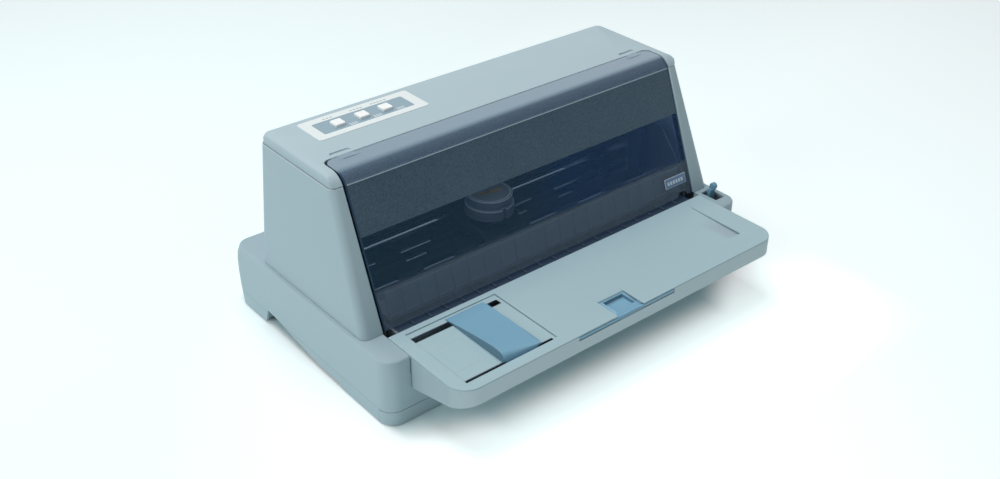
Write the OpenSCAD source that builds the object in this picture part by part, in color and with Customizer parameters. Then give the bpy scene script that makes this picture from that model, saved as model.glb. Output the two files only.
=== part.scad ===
// Flatbed dot matrix printer.
// Sheets are fed flat from the tray in front, over a platen and out through the back, while the
// head rides above them on a rod and prints downwards.
// X points right, Y to the back and Z up, in millimetres. The origin is on the floor, below the
// middle of the printer.

/* [Case] */
// Width of the base across its side walls
base_w = 480; // [470:1:500]
// Depth of the base from its front wall to where its rear wall swells most
base_d = 284; // [278:1:298]
// Height of the base's flat top above the floor
base_top = 75; // [74:0.5:76]
// How far the tray stands out in front of the base
tray_reach = 76; // [70:1:84]
// Height of the seam between the upper housing and its cap
seam_z = 209.5; // [206:0.5:216]
// Height of the cap's flat top
cap_top = 220; // [218:0.5:226]
// Backward lean of the front cover from the vertical, in degrees
lean = 21.5; // [20:0.5:23]
// Thickness of the moulded walls
wall = 2.5; // [2:0.1:3]
// Plan radius of the base's corners
corner_r = 16; // [10:1:20]

/* [Front cover] */
// Width of the smoked cover
cover_w = 424; // [416:1:424]
// Height of the cover's lower edge
cover_bottom = 76.8; // [76.5:0.1:80]
// Outer radius of the roll between the cover's front and its flat top
roll_r = 18.4; // [14:0.2:20]

/* [Tray and blue parts] */
// Width of the tray
tray_w = 426; // [420:1:426]
// Plan radius of the tray's front corners
tray_r = 21; // [12:1:30]
// Left side of the edge guide where it rests
guide_x = -154; // [-190:1:-145]
// Width of the edge guide
guide_w = 46; // [40:1:50]

/* [Buttons] */
// Side of a square button
button_w = 12; // [10:0.5:13]
// How far a button stands out of the cap
button_h = 3; // [2:0.5:4]

/* [Mechanism] */
// Radius of the platen's rubber
platen_r = 11; // [10:0.5:11]
// Radius of the feed rollers
feed_r = 8; // [7:0.5:8]
// Radius of the rod that carries the carriage
rod_r = 6; // [5:0.5:6]
// Radius of the print head's cooling fins
head_r = 26; // [22:1:26]
// X of the carriage's middle where it rests
carriage_x = -22; // [-150:1:150]

/* [Hidden] */
$fn = 48;
HULL_FN = 32;

// Depth: the tray's front lip, the base's front wall and its rear wall.
tray_front = -(base_d + tray_reach) / 2;
base_front = tray_front + tray_reach;
base_rear = -tray_front;
base_half = base_w / 2;

// The rear wall swells out below the flat top and draws in again towards the feet.
top_rear = base_rear - 8;
foot_rear = base_rear - 5;

// Upper housing and cap: half widths and rear planes at the base's top and at the seam.
foot_clear = 0.8;
low_half = base_half - 4.5;
high_half = base_half - 14;
cap_half = high_half - 1;
low_rear = top_rear - 46.5;
high_rear = top_rear - 53.5;
cap_rear = high_rear - 0.8;
seam_front = base_front + 95.5;
cover_top = cap_top - 0.4;
cover_half = cover_w / 2;
pillar_in = cover_half + 0.5;

// Hinge of the front cover: a pin along X under each recess of the cap.
hinge_y = base_front + 137.5;
hinge_z = cap_top - 7;
hinge_x = [-188, 188];
hinge_pin_r = 1.5;
run_clear = 0.05;
cap_edge = base_front + 131.3;
cover_rear = cap_edge - 0.8;

// Paper path: the top of the tray leads to the rollers' nips.
paper_z = base_top + 1;
tray_top = base_top + 0.5;
tray_rear = base_front + 35;
tray_half = tray_w / 2;
shelf_z = base_top - 20;

// Shafts of the feed, as (y, z).
shaft_r = 3;
platen_at = [base_front + 120, paper_z - platen_r];
front_feed_at = [platen_at[0] - 20, paper_z - feed_r];
rear_feed_at = [platen_at[0] + 20, paper_z - feed_r];
pinch_r = 4.8;
front_pinch_at = [front_feed_at[0], paper_z + pinch_r + 0.3];
rear_pinch_at = [rear_feed_at[0], paper_z + pinch_r + 0.3];
roller_half = 170;

// Side frames, and the gears outside the right one.
frame_half = 205;
sheet = 1.5;
gear_x = [frame_half + 4, frame_half + 10];
gear_m = 1;
feed_teeth = 22;
idler_teeth = 30;
pinion_teeth = 16;
feed_reach = gear_m * (feed_teeth + idler_teeth) / 2;
idler_at = [platen_at[0], front_feed_at[1] - sqrt(pow(feed_reach, 2) - pow(20, 2))];
pinion_turn = -75;
pinion_reach = gear_m * (pinion_teeth + idler_teeth) / 2;
pinion_at = idler_at + pinion_reach * [cos(pinion_turn), sin(pinion_turn)];

// Carriage, its rod and its belt.
rod_at = [base_front + 156, paper_z + 16];
carriage_half = 28;
plate_z = paper_z + 12;
head_z = plate_z + 3.5;
head_top = head_z + 35;
belt_y = base_front + 190;
belt_r = 9;
belt_z = [paper_z + 18, paper_z + 24];
pulley_x = 185;
beam_z = paper_z + 14;

// Release lever in the right ear.
lever_at = [base_front + 30, base_top - 33];
lever_x = [base_half - 18, base_half - 10];

// Buttons on the cap.
button_x = [-157.6, -129.2, -101.5];
button_y = base_front + 187.3;
board_z = cap_top - 17;
switch_h = 4;

// Power switch at the back.
rocker_at = [base_rear - 6, 39];
rocker_x = 130;
rocker_tilt = 7;

case_grey = [0.66, 0.73, 0.76];
part_blue = [0.44, 0.61, 0.71];
dark_plastic = [0.13, 0.15, 0.17];
steel = [0.72, 0.73, 0.74];
zinc = [0.62, 0.64, 0.66];
rubber_black = [0.09, 0.09, 0.1];

// ---------- shared shapes ----------

// Y of the front cover's outer face at height z.
function front_y(z) = seam_front - (seam_z - z) * tan(lean);

// Points on an arc about c, from angle a0 to a1 in n steps.
function arc(c, r, a0, a1, n) = [for (i = [0:n]) let (a = a0 + (a1 - a0) * i / n) c + r * [cos(a), sin(a)]];

module box(a, b) {
    translate(a) cube(b - a);
}

// A (y, z) outline drawn out along X.
module along_x(x0, x1) {
    translate([x0, 0, 0]) rotate([90, 0, 90]) linear_extrude(x1 - x0) children();
}

// An (x, y) outline drawn out upwards.
module along_z(z0, z1) {
    translate([0, 0, z0]) linear_extrude(z1 - z0) children();
}

module rod_x(x0, x1, at, r) {
    translate([x0, at[0], at[1]]) rotate([0, 90, 0]) cylinder(r = r, h = x1 - x0);
}

// Rectangle from (x0, y0) to (x1, y1) with front corners of radius rf and rear corners of rr.
module round_plan(x0, x1, y0, y1, rf, rr) {
    polygon([
        [x0, y0 + rf], [x0 + rf, y0], [x1 - rf, y0], [x1, y0 + rf],
        [x1, y1 - rr], [x1 - rr, y1], [x0 + rr, y1], [x0, y1 - rr]
    ]);
    for (x = [x0 + rf, x1 - rf]) translate([x, y0 + rf]) circle(rf);
    for (x = [x0 + rr, x1 - rr]) translate([x, y1 - rr]) circle(rr);
}

module disc_along_z(at, z0, z1, r) {
    translate([at[0], at[1], z0]) cylinder(r = r, h = z1 - z0);
}

// ---------- gears ----------

pressure = 20;
tip_h = 0.9;
root_h = 1.2;
slack = 0.08;

function inv_deg(a) = tan(a) * 180 / PI - a;

// Half the angle that a tooth covers at radius r, on a gear with this many teeth.
function half_tooth(r, teeth) =
    let (
        pitch_r = gear_m * teeth / 2,
        base_r = pitch_r * cos(pressure),
        a = r > base_r ? acos(base_r / r) : 0
    )
    90 / teeth - slack / pitch_r * 180 / PI + inv_deg(pressure) - inv_deg(a);

function gear_radii(teeth) =
    let (r = gear_m * teeth / 2) [r - root_h, r - root_h / 3, r + tip_h / 3, r + tip_h];

function gear_outline(teeth) = [
    for (k = [0:teeth - 1], side = [-1, 1], i = [0:3])
        let (
            r = gear_radii(teeth)[side < 0 ? i : 3 - i],
            a = k * 360 / teeth + side * half_tooth(r, teeth)
        )
        r * [cos(a), sin(a)]
];

// Angle of a gear's first tooth so that it meshes with the idler in direction dir from it.
idler_turn = atan2(front_feed_at[1] - idler_at[1], front_feed_at[0] - idler_at[0]);

function mesh_turn(dir, teeth) =
    dir + 180 + (dir - idler_turn) * idler_teeth / teeth + 180 / teeth;

module spur_gear(teeth, at, turn, bore_r) {
    along_x(gear_x[0], gear_x[1]) translate(at) difference() {
        rotate(turn) polygon(gear_outline(teeth));
        circle(bore_r);
    }
}

// ---------- case ----------

// Rings of the base's outside from the floor up: height, rear plane, and how far the sides and the
// front are drawn in.
base_rings = [
    [0, foot_rear, 0], [22, base_rear - 1.2, 0], [40, base_rear, 0], [54, base_rear - 0.4, 0],
    [63, base_rear - 2.4, 0], [base_top - 2.2, top_rear, 0], [base_top - 0.8, top_rear - 0.8, 0.7],
    [base_top - 0.1, top_rear - 2.3, 2.2]
];

// Solid filled by the base's outside, moved in by t.
module base_block(t) {
    hull() for (ring = base_rings) along_z(ring[0], ring[0] + 0.1) round_plan(
        -base_half + ring[2] + t, base_half - ring[2] - t, base_front + ring[2] + t, ring[1] - t,
        corner_r - ring[2] - t, corner_r - 2 - ring[2] - t, $fn = HULL_FN);
}

pan_seam = 16.5;
pan_lip_d = corner_r;

// Outline of the case's underside as seen from the side, raised between the feet.
module underside_cut() {
    y = base_front;
    polygon([
        [y - 1, -1], [base_rear + 1, -1], [base_rear + 1, 8], [foot_rear - 0.6, 7],
        [foot_rear - 2.6, 3], [foot_rear - 7, foot_clear], [y + 226, foot_clear],
        [y + 223, 2.2], [y + 222, 5], [y + 217, 19], [y + 195, 17], [y + 171, 12],
        [y + 125, 6], [y + 86, 4], [y + 75, foot_clear], [y - 1, foot_clear]
    ]);
}

module tray_recess(grow) {
    box([-tray_half - 0.4 - grow, base_front - 1, shelf_z - grow],
        [tray_half + 0.4 + grow, base_front + 43, base_top + 1]);
}

connector_box = [[-125, 28], [-65, 42]];
inlet_box = [[158, 28], [188, 50]];

module base_housing() {
    color(case_grey) union() {
        difference() {
            base_block(0);
            difference() {
                intersection() {
                    base_block(wall);
                    box([-base_half, base_front, -1], [base_half, base_rear, base_top - wall]);
                }
                tray_recess(wall);
            }
            tray_recess(0);
            // Opening over the mechanism, under the upper housing.
            box([-222, base_front + 42.9, base_top - wall - 1], [222, base_front + 218, base_top + 1]);
            box([-161, base_front + 217, base_top - wall - 1], [161, low_rear - wall - 0.4, base_top + 1]);
            // Rebate and opening of the rear cover.
            box([-170.4, top_rear - 42.4, base_top - 1.2], [170.4, top_rear - 7.6, base_top + 1]);
            box([-164, top_rear - 38, base_top - wall - 1], [164, top_rear - 12, base_top + 1]);
            // Slot of the release lever.
            box([base_half - 21, base_front + 15, base_top - wall - 1],
                [base_half - 7, base_front + 37, base_top + 1]);
            along_x(-base_half - 1, base_half + 1) underside_cut();
            // The pan's front lip closes the case here.
            box([-base_half - 1, base_front - 1, -1], [base_half + 1, base_front + pan_lip_d, pan_seam]);
            for (b = [connector_box, inlet_box])
                box([b[0][0], base_rear - wall - 1, b[0][1]], [b[1][0], base_rear + 1, b[1][1]]);
            box([rocker_x - 9, base_rear - wall - 1, 27.5], [rocker_x + 9, base_rear + 1, 50.5]);
        }
        // Flange over the pan's side walls, and the front face of each rear foot.
        along_z(pan_wall_top + 0.2, pan_wall_top + 2.7) intersection() {
            round_plan(-base_half + 1, base_half - 1, base_front + 50, foot_rear, 1, corner_r - 2);
            for (s = [-1, 1]) translate([s * (pan_half + 8), 0]) square([18, 2 * base_d], center = true);
        }
        for (s = [-1, 1])
            box([min(s * (pan_half + 0.3), s * (base_half - 1)), base_front + 223, 5],
                [max(s * (pan_half + 0.3), s * (base_half - 1)), base_front + 225.5, pan_wall_top + 1]);
        // Outer bearing of the lever's shaft.
        difference() {
            rod_x(base_half - 7, base_half - 1, lever_at, 6);
            rod_x(base_half - 8, base_half - wall, lever_at, shaft_r + run_clear);
        }
    }
}

pan_floor = 3;
pan_wall_top = 19.3;
pan_half = base_half - 18;

module bottom_pan() {
    color(case_grey) difference() {
        union() {
            difference() {
                box([-pan_half, base_front + pan_lip_d + 0.5, pan_floor],
                    [pan_half, foot_rear - wall - 0.5, pan_wall_top]);
                box([-pan_half + 2, base_front + 2, pan_floor + wall],
                    [pan_half - 2, foot_rear - wall - 2.5, pan_wall_top + 1]);
            }
            difference() {
                along_z(foot_clear, pan_seam - 0.3) round_plan(-base_half, base_half,
                    base_front, base_rear, corner_r, corner_r);
                along_z(foot_clear - 1, pan_seam) round_plan(-base_half + wall, base_half - wall,
                    base_front + wall, base_rear, corner_r - wall, corner_r);
                box([-base_half - 1, base_front + pan_lip_d - 0.3, 0],
                    [base_half + 1, base_rear + 1, pan_seam]);
            }
            along_z(pan_floor, pan_floor + wall) round_plan(-base_half + 1, base_half - 1,
                base_front + 1, base_front + 3 * pan_lip_d, corner_r - 1, 1);
        }
        // The plate's sides stay inside the side walls behind the lip.
        for (s = [-1, 1]) box([s * base_half - 3.1, base_front + pan_lip_d - 0.3, 0],
            [s * base_half + 3.1, base_rear, pan_wall_top + 1]);
        for (x = foot_x, y = screw_y) disc_along_z([x, y], 0, 10, 1.5);
        // Cooling slots under the power board.
        for (i = [0:7]) box([90 + 12 * i, base_rear - 100, 0], [94 + 12 * i, base_rear - 50, 10]);
    }
}

foot_x = [-pan_half + 12, pan_half - 12];
foot_y = [base_front + 26, base_rear - 24];
screw_y = [base_front + 44, base_rear - 42];

module rubber_feet() {
    color(rubber_black) for (x = foot_x, y = foot_y) disc_along_z([x, y], 0, pan_floor, 9);
}

module case_screws() {
    color(steel) for (x = foot_x, y = screw_y) {
        disc_along_z([x, y], pan_floor - 2, pan_floor, 3);
        disc_along_z([x, y], pan_floor - 0.1, pan_floor + 12, 1.5);
    }
}

// Outside of the upper housing, moved in by t.
module upper_block(t) {
    hull() {
        along_z(base_top, base_top + 0.1) round_plan(-low_half + t, low_half - t,
            front_y(base_top) + t, low_rear - t, 8 - t, 12 - t, $fn = HULL_FN);
        along_z(seam_z - 0.1, seam_z) round_plan(-high_half + t, high_half - t,
            front_y(seam_z) + t, high_rear - t, 8 - t, 9 - t, $fn = HULL_FN);
    }
}

// Half width of the slot that the sheets leave by, as wide as the rear wall is straight.
exit_half = high_half - 10;

module upper_housing() {
    color(case_grey) difference() {
        union() {
            difference() {
                upper_block(0);
                translate([0, 0, -0.1]) upper_block(wall);
                box([-exit_half, low_rear - 20, base_top], [exit_half, low_rear + 1, seam_z + 1]);
                translate([0, 0, seam_z - 2]) along_z(0, 3) round_plan(-high_half + wall,
                    high_half - wall, front_y(seam_z) + wall, high_rear - wall, 5.5, 6.5);
            }
            // Rear wall above the slot that the sheets leave by.
            intersection() {
                upper_block(0);
                along_x(-exit_half - 1, exit_half + 1) polygon([
                    [low_rear - 0.4, base_top + 7], [low_rear, base_top + 7],
                    [high_rear, seam_z], [high_rear - wall, seam_z], [low_rear - wall, base_top + 7]
                ]);
            }
            // Return walls beside the cover.
            for (s = [-1, 1]) along_x(min(s * pillar_in, s * (pillar_in + 2)),
                max(s * pillar_in, s * (pillar_in + 2))) polygon([
                    [front_y(base_top) + 1, base_top], [front_y(base_top) + 12, base_top],
                    [front_y(seam_z) + 12, seam_z], [front_y(seam_z) + 1, seam_z]
                ]);
        }
        along_x(-pillar_in, pillar_in) polygon([
            [front_y(base_top) - 5, base_top - 1], [front_y(base_top) + 30, base_top - 1],
            [front_y(seam_z) + 30, seam_z + 1], [front_y(seam_z) - 5, seam_z + 1]
        ]);
    }
}

// Centre of the roll at the cover's top front, for an outer top at height top.
function roll_centre(top) =
    let (z = top - roll_r) [front_y(z) + roll_r / cos(lean), z];

// Outline under the roll, from the slanted front back to the rear plane.
module roll_profile(top, rear, bottom) {
    polygon(concat(
        [[rear, bottom], [front_y(bottom), bottom]],
        arc(roll_centre(top), roll_r, 180 - lean, 90, 12),
        [[rear, top]]
    ));
}

module cap_block(t) {
    hull() {
        along_z(seam_z, cap_top - 5) round_plan(-cap_half + t, cap_half - t,
            front_y(seam_z) - 1 + t, cap_rear - t, 8 - t, 9 - t, $fn = HULL_FN);
        along_z(cap_top - 2 - t, cap_top - 1.9 - t) round_plan(-cap_half + t + 1.6, cap_half - t - 1.6,
            front_y(seam_z) - 1 + t, cap_rear - t - 1.6, 7 - t, 8 - t, $fn = HULL_FN);
        along_z(cap_top - 0.1 - t, cap_top - t) round_plan(-cap_half + t + 5, cap_half - t - 5,
            front_y(seam_z) - 1 + t, cap_rear - t - 5, 5 - t, 6 - t, $fn = HULL_FN);
    }
}

module top_cap() {
    color(case_grey) difference() {
        union() {
            difference() {
                intersection() {
                    cap_block(0);
                    along_x(-base_half, base_half) roll_profile(cap_top, cap_rear + 1, seam_z);
                }
                difference() {
                    translate([0, 0, -0.1]) cap_block(wall);
                    for (s = [-1, 1]) translate([s * (pillar_in + 1), 0, 0])
                        box([-1, base_front, seam_z - 1], [1, cap_edge + 6, cap_top]);
                    // Front wall of the strips beside the cover.
                    along_x(-base_half, base_half) polygon([
                        [front_y(seam_z) - 3, seam_z - 1], [front_y(seam_z) + 4, seam_z - 1],
                        [roll_centre(cap_top)[0], cap_top - 4], [roll_centre(cap_top)[0], cap_top + 1],
                        [front_y(seam_z) - 3, cap_top + 1]
                    ]);
                }
                along_z(seam_z - 1, cap_top + 1)
                    round_plan(-pillar_in, pillar_in, base_front, cap_edge, 1, 8);
            }
            // The two ears that hold each hinge pin.
            for (x = hinge_x, side = [-1, 1]) translate([x + side * 7.6, 0, 0]) {
                rod_x(-2, 2, [hinge_y, hinge_z], 4);
                box([-2, hinge_y - 2.5, hinge_z], [2, hinge_y + 4, cap_top - 1.5]);
            }
            // Posts that carry the button board.
            for (x = [button_x[0] - 8, button_x[2] + 12]) disc_along_z([x, button_y + 14],
                board_z + 1.6, cap_top - 1, 3.5);
        }
        for (x = hinge_x) {
            rod_x(x - 9.7, x + 9.7, [hinge_y, hinge_z], hinge_pin_r);
            // Shallow recess over the hinge.
            along_z(cap_top - 1.5, cap_top + 1)
                round_plan(x - 11, x + 11, cap_edge + 2.7, cap_edge + 8.7, 2.9, 2.9);
        }
        for (x = button_x) translate([x, button_y, 0]) box(
            [-button_w / 2 - 0.3, -button_w / 2 - 0.3, cap_top - 8],
            [button_w / 2 + 0.3, button_w / 2 + 0.3, cap_top + 1]);
    }
}

module rear_cover() {
    color(case_grey) {
        box([-170, top_rear - 42, base_top - 1.2], [170, top_rear - 8, base_top]);
        for (x = [-120, 120]) box([x - 8, top_rear - 37.6, base_top - 6],
            [x + 8, top_rear - 36, base_top - 1]);
    }
}

// ---------- front cover ----------

hook_r = [10, 12.8];
hook_from = 152;
hook_to = 249;

// Gooseneck that reaches round the cap's edge to the pin's knuckle.
module hinge_hook() {
    along_x(-5, 5) translate([hinge_y, hinge_z]) difference() {
        union() {
            intersection() {
                difference() {
                    circle(hook_r[1]);
                    circle(hook_r[0]);
                }
                polygon(concat([[0, 0]], arc([0, 0], 20, hook_from, hook_to, 4)));
            }
            polygon([
                2 * [cos(hook_to - 60), sin(hook_to - 60)], 10.5 * [cos(hook_to - 14), sin(hook_to - 14)],
                10.5 * [cos(hook_to), sin(hook_to)], 2 * [cos(hook_to + 40), sin(hook_to + 40)]
            ]);
            circle(4);
        }
        circle(hinge_pin_r + run_clear);
    }
}

module front_cover() {
    color([0.25, 0.29, 0.32, 0.75]) union() {
        intersection() {
            along_x(-cover_half, cover_half) polygon(concat(
                [[front_y(cover_bottom) + wall / cos(lean), cover_bottom]],
                [[front_y(cover_bottom), cover_bottom]],
                arc(roll_centre(cover_top), roll_r, 180 - lean, 90, 12),
                [[cover_rear, cover_top], [cover_rear - 2.1, cover_top - wall]],
                arc(roll_centre(cover_top), roll_r - wall, 90, 180 - lean, 12)
            ));
            along_z(0, cap_top) round_plan(-cover_half, cover_half, base_front - 9, cover_rear, 1, 9.6);
        }
        for (x = hinge_x) translate([x, 0, 0]) hinge_hook();
    }
}

module cover_hinge_pins() {
    color(steel) for (x = hinge_x) rod_x(x - 9.6, x + 9.6, [hinge_y, hinge_z], hinge_pin_r);
}

badge_z = [base_top + 15, base_top + 25.5];

module cover_badge() {
    out = 0.5 * [-cos(lean), sin(lean)];
    low = [front_y(badge_z[0]), badge_z[0]];
    high = [front_y(badge_z[1]), badge_z[1]];
    color([0.62, 0.76, 0.85]) along_x(172, 204) polygon([low, low + out, high + out, high]);
}

// ---------- control panel ----------

label_x = [-191, -61.5];
label_y = [base_front + 166.5, base_front + 210];
inset_x = [-180, -73.5];
inset_y = [base_front + 175, base_front + 200.5];

module button_holes(z0, z1) {
    for (x = button_x) translate([x, button_y, 0]) box(
        [-button_w / 2 - 0.3, -button_w / 2 - 0.3, z0], [button_w / 2 + 0.3, button_w / 2 + 0.3, z1]);
}

module control_label() {
    color([0.92, 0.95, 0.95]) difference() {
        along_z(cap_top, cap_top + 0.4)
            round_plan(label_x[0], label_x[1], label_y[0], label_y[1], 3, 3);
        along_z(cap_top - 1, cap_top + 1)
            round_plan(inset_x[0], inset_x[1], inset_y[0], inset_y[1], 2, 2);
    }
}

module panel_inset() {
    color([0.55, 0.65, 0.71]) difference() {
        along_z(cap_top, cap_top + 0.2)
            round_plan(inset_x[0], inset_x[1], inset_y[0], inset_y[1], 2, 2);
        button_holes(cap_top - 1, cap_top + 1);
    }
}

module button(i) {
    h = button_w / 2;
    color([0.93, 0.94, 0.94]) translate([button_x[i], button_y, 0]) {
        along_z(cap_top - 6, cap_top + button_h) round_plan(-h, h, -h, h, 1, 1);
        box([-h - 1.5, -h - 1.5, cap_top - 6], [h + 1.5, h + 1.5, cap_top - 3.2]);
        disc_along_z([0, 0], board_z + 1.6 + switch_h - 1, cap_top - 5.9, 1.5);
    }
}

module button_left() button(0);
module button_middle() button(1);
module button_right() button(2);

module button_board() {
    top = board_z + 1.6;
    color([0.2, 0.45, 0.3]) union() {
        box([button_x[0] - 14, button_y - 13, board_z], [button_x[2] + 18, button_y + 19, top]);
        for (x = button_x) translate([x, button_y, 0]) difference() {
            box([-3, -3, top - 0.1], [3, 3, top + switch_h]);
            disc_along_z([0, 0], top + 0.8, top + switch_h + 1, 1.8);
        }
        box([button_x[2] + 8, button_y - 10, top - 0.1], [button_x[2] + 14, button_y + 6, top + 5]);
    }
}

// ---------- tray and blue parts ----------

guide_slots = [[base_front + 13, base_front + 21], [base_front - 64, base_front - 60]];
strip_x = [-73, 55];
notch_x = [-23, 12];
notch_rear = base_front - 46;
slide_z = base_top - 5.5;
wedge_y = [base_front - 49, base_front + 26];
wedge_depth = 2.8;

module tray() {
    color(case_grey) difference() {
        union() {
            difference() {
                intersection() {
                    along_z(38, tray_top)
                        round_plan(-tray_half, tray_half, tray_front, tray_rear, tray_r, 0.5);
                    along_x(-tray_half, tray_half) polygon([
                        [tray_front, tray_top - 19.5], [base_front - 0.4, 38],
                        [base_front - 0.4, shelf_z], [tray_rear, shelf_z], [tray_rear, tray_top],
                        [tray_front, tray_top]
                    ]);
                }
                along_z(30, tray_top - wall) round_plan(-tray_half + wall, tray_half - wall,
                    tray_front + wall, tray_rear - wall, tray_r - wall, 0.5);
            }
            // Thicker floor under the deep end of the falling bed.
            box([166, wedge_y[0] - 2.5, tray_top - wall - 2], [188, wedge_y[0] + 40, tray_top - 1]);
        }
        // Shallow bed of the edge guide, and the slots its feet run in.
        box([-198, base_front - 63, tray_top - 1], [-90, base_front + 28.5, tray_top + 1]);
        for (slot = guide_slots) box([-198, slot[0], tray_top - wall - 1], [-94, slot[1], tray_top + 1]);
        // Grooves along the bed's right and rear edges.
        box([-90.8, base_front - 63, tray_top - 1.9], [-89.8, base_front + 28.5, tray_top + 1]);
        box([-198, base_front + 27.7, tray_top - 1.6], [-90, base_front + 28.5, tray_top + 1]);
        // Mouth of the extension in the front lip, and the notch over its pull.
        box([strip_x[0] - 0.4, tray_front - 1, slide_z - 0.4],
            [strip_x[1] + 0.4, tray_front + wall + 1, base_top - 0.6]);
        box([notch_x[0], tray_front - 1, slide_z - 0.4], [notch_x[1], notch_rear, tray_top + 1]);
        // Chamfer behind the notch.
        hull() {
            box([notch_x[0], notch_rear - 0.1, tray_top - 1.5], [notch_x[1], notch_rear, tray_top + 1]);
            box([notch_x[0], notch_rear, tray_top], [notch_x[1], notch_rear + 5.6, tray_top + 1]);
        }
        // Bed that falls towards the front right, where the sheet's edge runs below the rim.
        hull() {
            box([150, wedge_y[0], tray_top], [185, wedge_y[1], tray_top + 1]);
            box([184.9, wedge_y[0], tray_top - wedge_depth], [185, wedge_y[0] + 0.1, tray_top]);
        }
    }
}

module tray_bottom() {
    color(case_grey) difference() {
        union() {
            along_z(shelf_z + 1.5, shelf_z + 3.5) round_plan(-tray_half + wall + 0.3,
                tray_half - wall - 0.3, tray_front + wall + 0.3, tray_rear - wall - 0.3,
                tray_r - wall, 0.5);
            // Rails under the extension.
            for (x = [strip_x[0] + 8, strip_x[1] - 10]) box([x, tray_front + 6, shelf_z + 3],
                [x + 2, base_front - 4, slide_z - 0.4]);
        }
        box([-30, base_front - 50, 0], [20, base_front - 20, shelf_z + 2]);
    }
}

module tray_extension() {
    pull = [notch_x[0] + 0.4, notch_x[1] - 0.4];
    color(part_blue) difference() {
        union() {
            box([strip_x[0], tray_front, slide_z], [strip_x[1], tray_front + wall, base_top - 1]);
            box([strip_x[0] + 3, tray_front + 1, slide_z], [strip_x[1] - 3, base_front - 6, base_top - 2.4]);
            box([pull[0], tray_front, slide_z], [pull[1], notch_rear - 0.4, base_top - 0.4]);
        }
        box([pull[0] + 5, tray_front + 11, slide_z + 1.2], [pull[1] - 5, notch_rear - 3, base_top + 1]);
    }
}

// Side of the guide's left end, as (distance behind base_front, height above base_top).
guide_side = [
    [25, 0.4], [13, 2.1], [0.5, 3.9], [-13, 6], [-23, 7.3], [-33, 8.5], [-44, 9.6], [-51, 9.6],
    [-57, 8.4], [-61, 6.6], [-62.6, 4.4], [-62.6, -0.3], [25, -0.3]
];

// Ramp that falls from a high left end to a low right end.
module guide_block() {
    hull() {
        along_x(guide_x, guide_x + 0.1) polygon([for (p = guide_side) [base_front + p[0], base_top + p[1]]]);
        along_x(guide_x + guide_w - 0.1, guide_x + guide_w) polygon([
            for (p = guide_side) [base_front + p[0], base_top + min(p[1], 1.2 + 0.07 * p[1])]
        ]);
    }
}

module edge_guide() {
    x0 = guide_x;
    x1 = guide_x + guide_w;
    under = tray_top - wall;
    color(part_blue) union() {
        difference() {
            guide_block();
            translate([-1.6, 1.4, -1.4]) guide_block();
        }
        // Feet that hold it down under the tray's top.
        for (slot = guide_slots) {
            mid = (slot[0] + slot[1]) / 2;
            box([x0 + 4, mid - 1.5, under - 2.9], [x1 - 4, mid + 1.5, base_top + 0.5]);
            box([x0 + 4, mid - 5, under - 2.9], [x1 - 4, mid + 5, under - 0.5]);
        }
    }
}

// ---------- release lever ----------

module release_lever() {
    color(part_blue) difference() {
        union() {
            along_x(lever_x[0], lever_x[1]) translate(lever_at) {
                circle(7);
                polygon([[-4, 0], [4, 0], [2.5, 46], [-2.5, 46]]);
            }
            rod_x(lever_x[0], lever_x[1], [lever_at[0], lever_at[1] + 45], 3.4);
        }
        rod_x(lever_x[0] - 1, lever_x[1] + 1, lever_at, shaft_r);
    }
}

module lever_shaft() {
    color(steel) union() {
        rod_x(frame_half - 14, base_half - 3, lever_at, shaft_r);
        // Cam that lifts the pinch rollers.
        rod_x(frame_half - 13, frame_half - 7, lever_at + [2.5, 1.5], 8);
    }
}

// ---------- paper guides ----------

module front_paper_guide() {
    y0 = tray_rear + 0.6;
    y1 = front_feed_at[0] - feed_r - 2;
    color(dark_plastic) union() {
        box([-200, y0, base_top - 4.5], [200, y1, base_top - 2.5]);
        for (i = [-9:9]) box([20 * i - 0.8, y0 + 2, base_top - 2.6], [20 * i + 0.8, y1, base_top]);
        for (s = [-1, 1]) box([s * 200 - 1, y0, base_top - 14], [s * 200 + 1, y1, base_top - 2.5]);
    }
}

module rear_paper_guide() {
    y0 = rear_feed_at[0] + feed_r + 2;
    y1 = low_rear - 3.5;
    color(dark_plastic) union() {
        box([-160, y0, base_top - 3], [160, y1, base_top - 1]);
        for (i = [-7:7]) box([20 * i - 0.8, y0, base_top - 1.1], [20 * i + 0.8, y1, base_top + 0.4]);
        for (s = [-1, 1]) box([s * 159 - 1, y0, base_top - 12], [s * 159 + 1, y1, base_top - 1]);
    }
}

comb_y = front_y(cover_bottom) + 8.6;
comb_x = 198;

// Dark comb behind the cover's lower band, and the plate that keeps the sheet down.
module upper_paper_guide() {
    z0 = base_top + 2.6;
    z1 = base_top + 31;
    y1 = comb_y + 6.5;
    color(dark_plastic) union() {
        along_x(-comb_x, comb_x) polygon([
            [comb_y, z0], [comb_y, z0 + 5], [comb_y + 1, z0 + 5.4], [y1, z1], [y1 + 2, z1],
            [comb_y + 3, z0 + 5], [comb_y + 5, z0 + 2], [front_pinch_at[0] - 8, z0 + 2],
            [front_pinch_at[0] - 8, z0]
        ]);
        for (i = [-9:9]) along_x(20 * i - 0.7, 20 * i + 0.7) polygon([
            [comb_y + 1, z0 + 5], [y1, z1 - 1], [y1 - 1.2, z1 - 2], [comb_y - 0.4, z0 + 5]
        ]);
    }
}

// ---------- frames ----------

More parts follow.
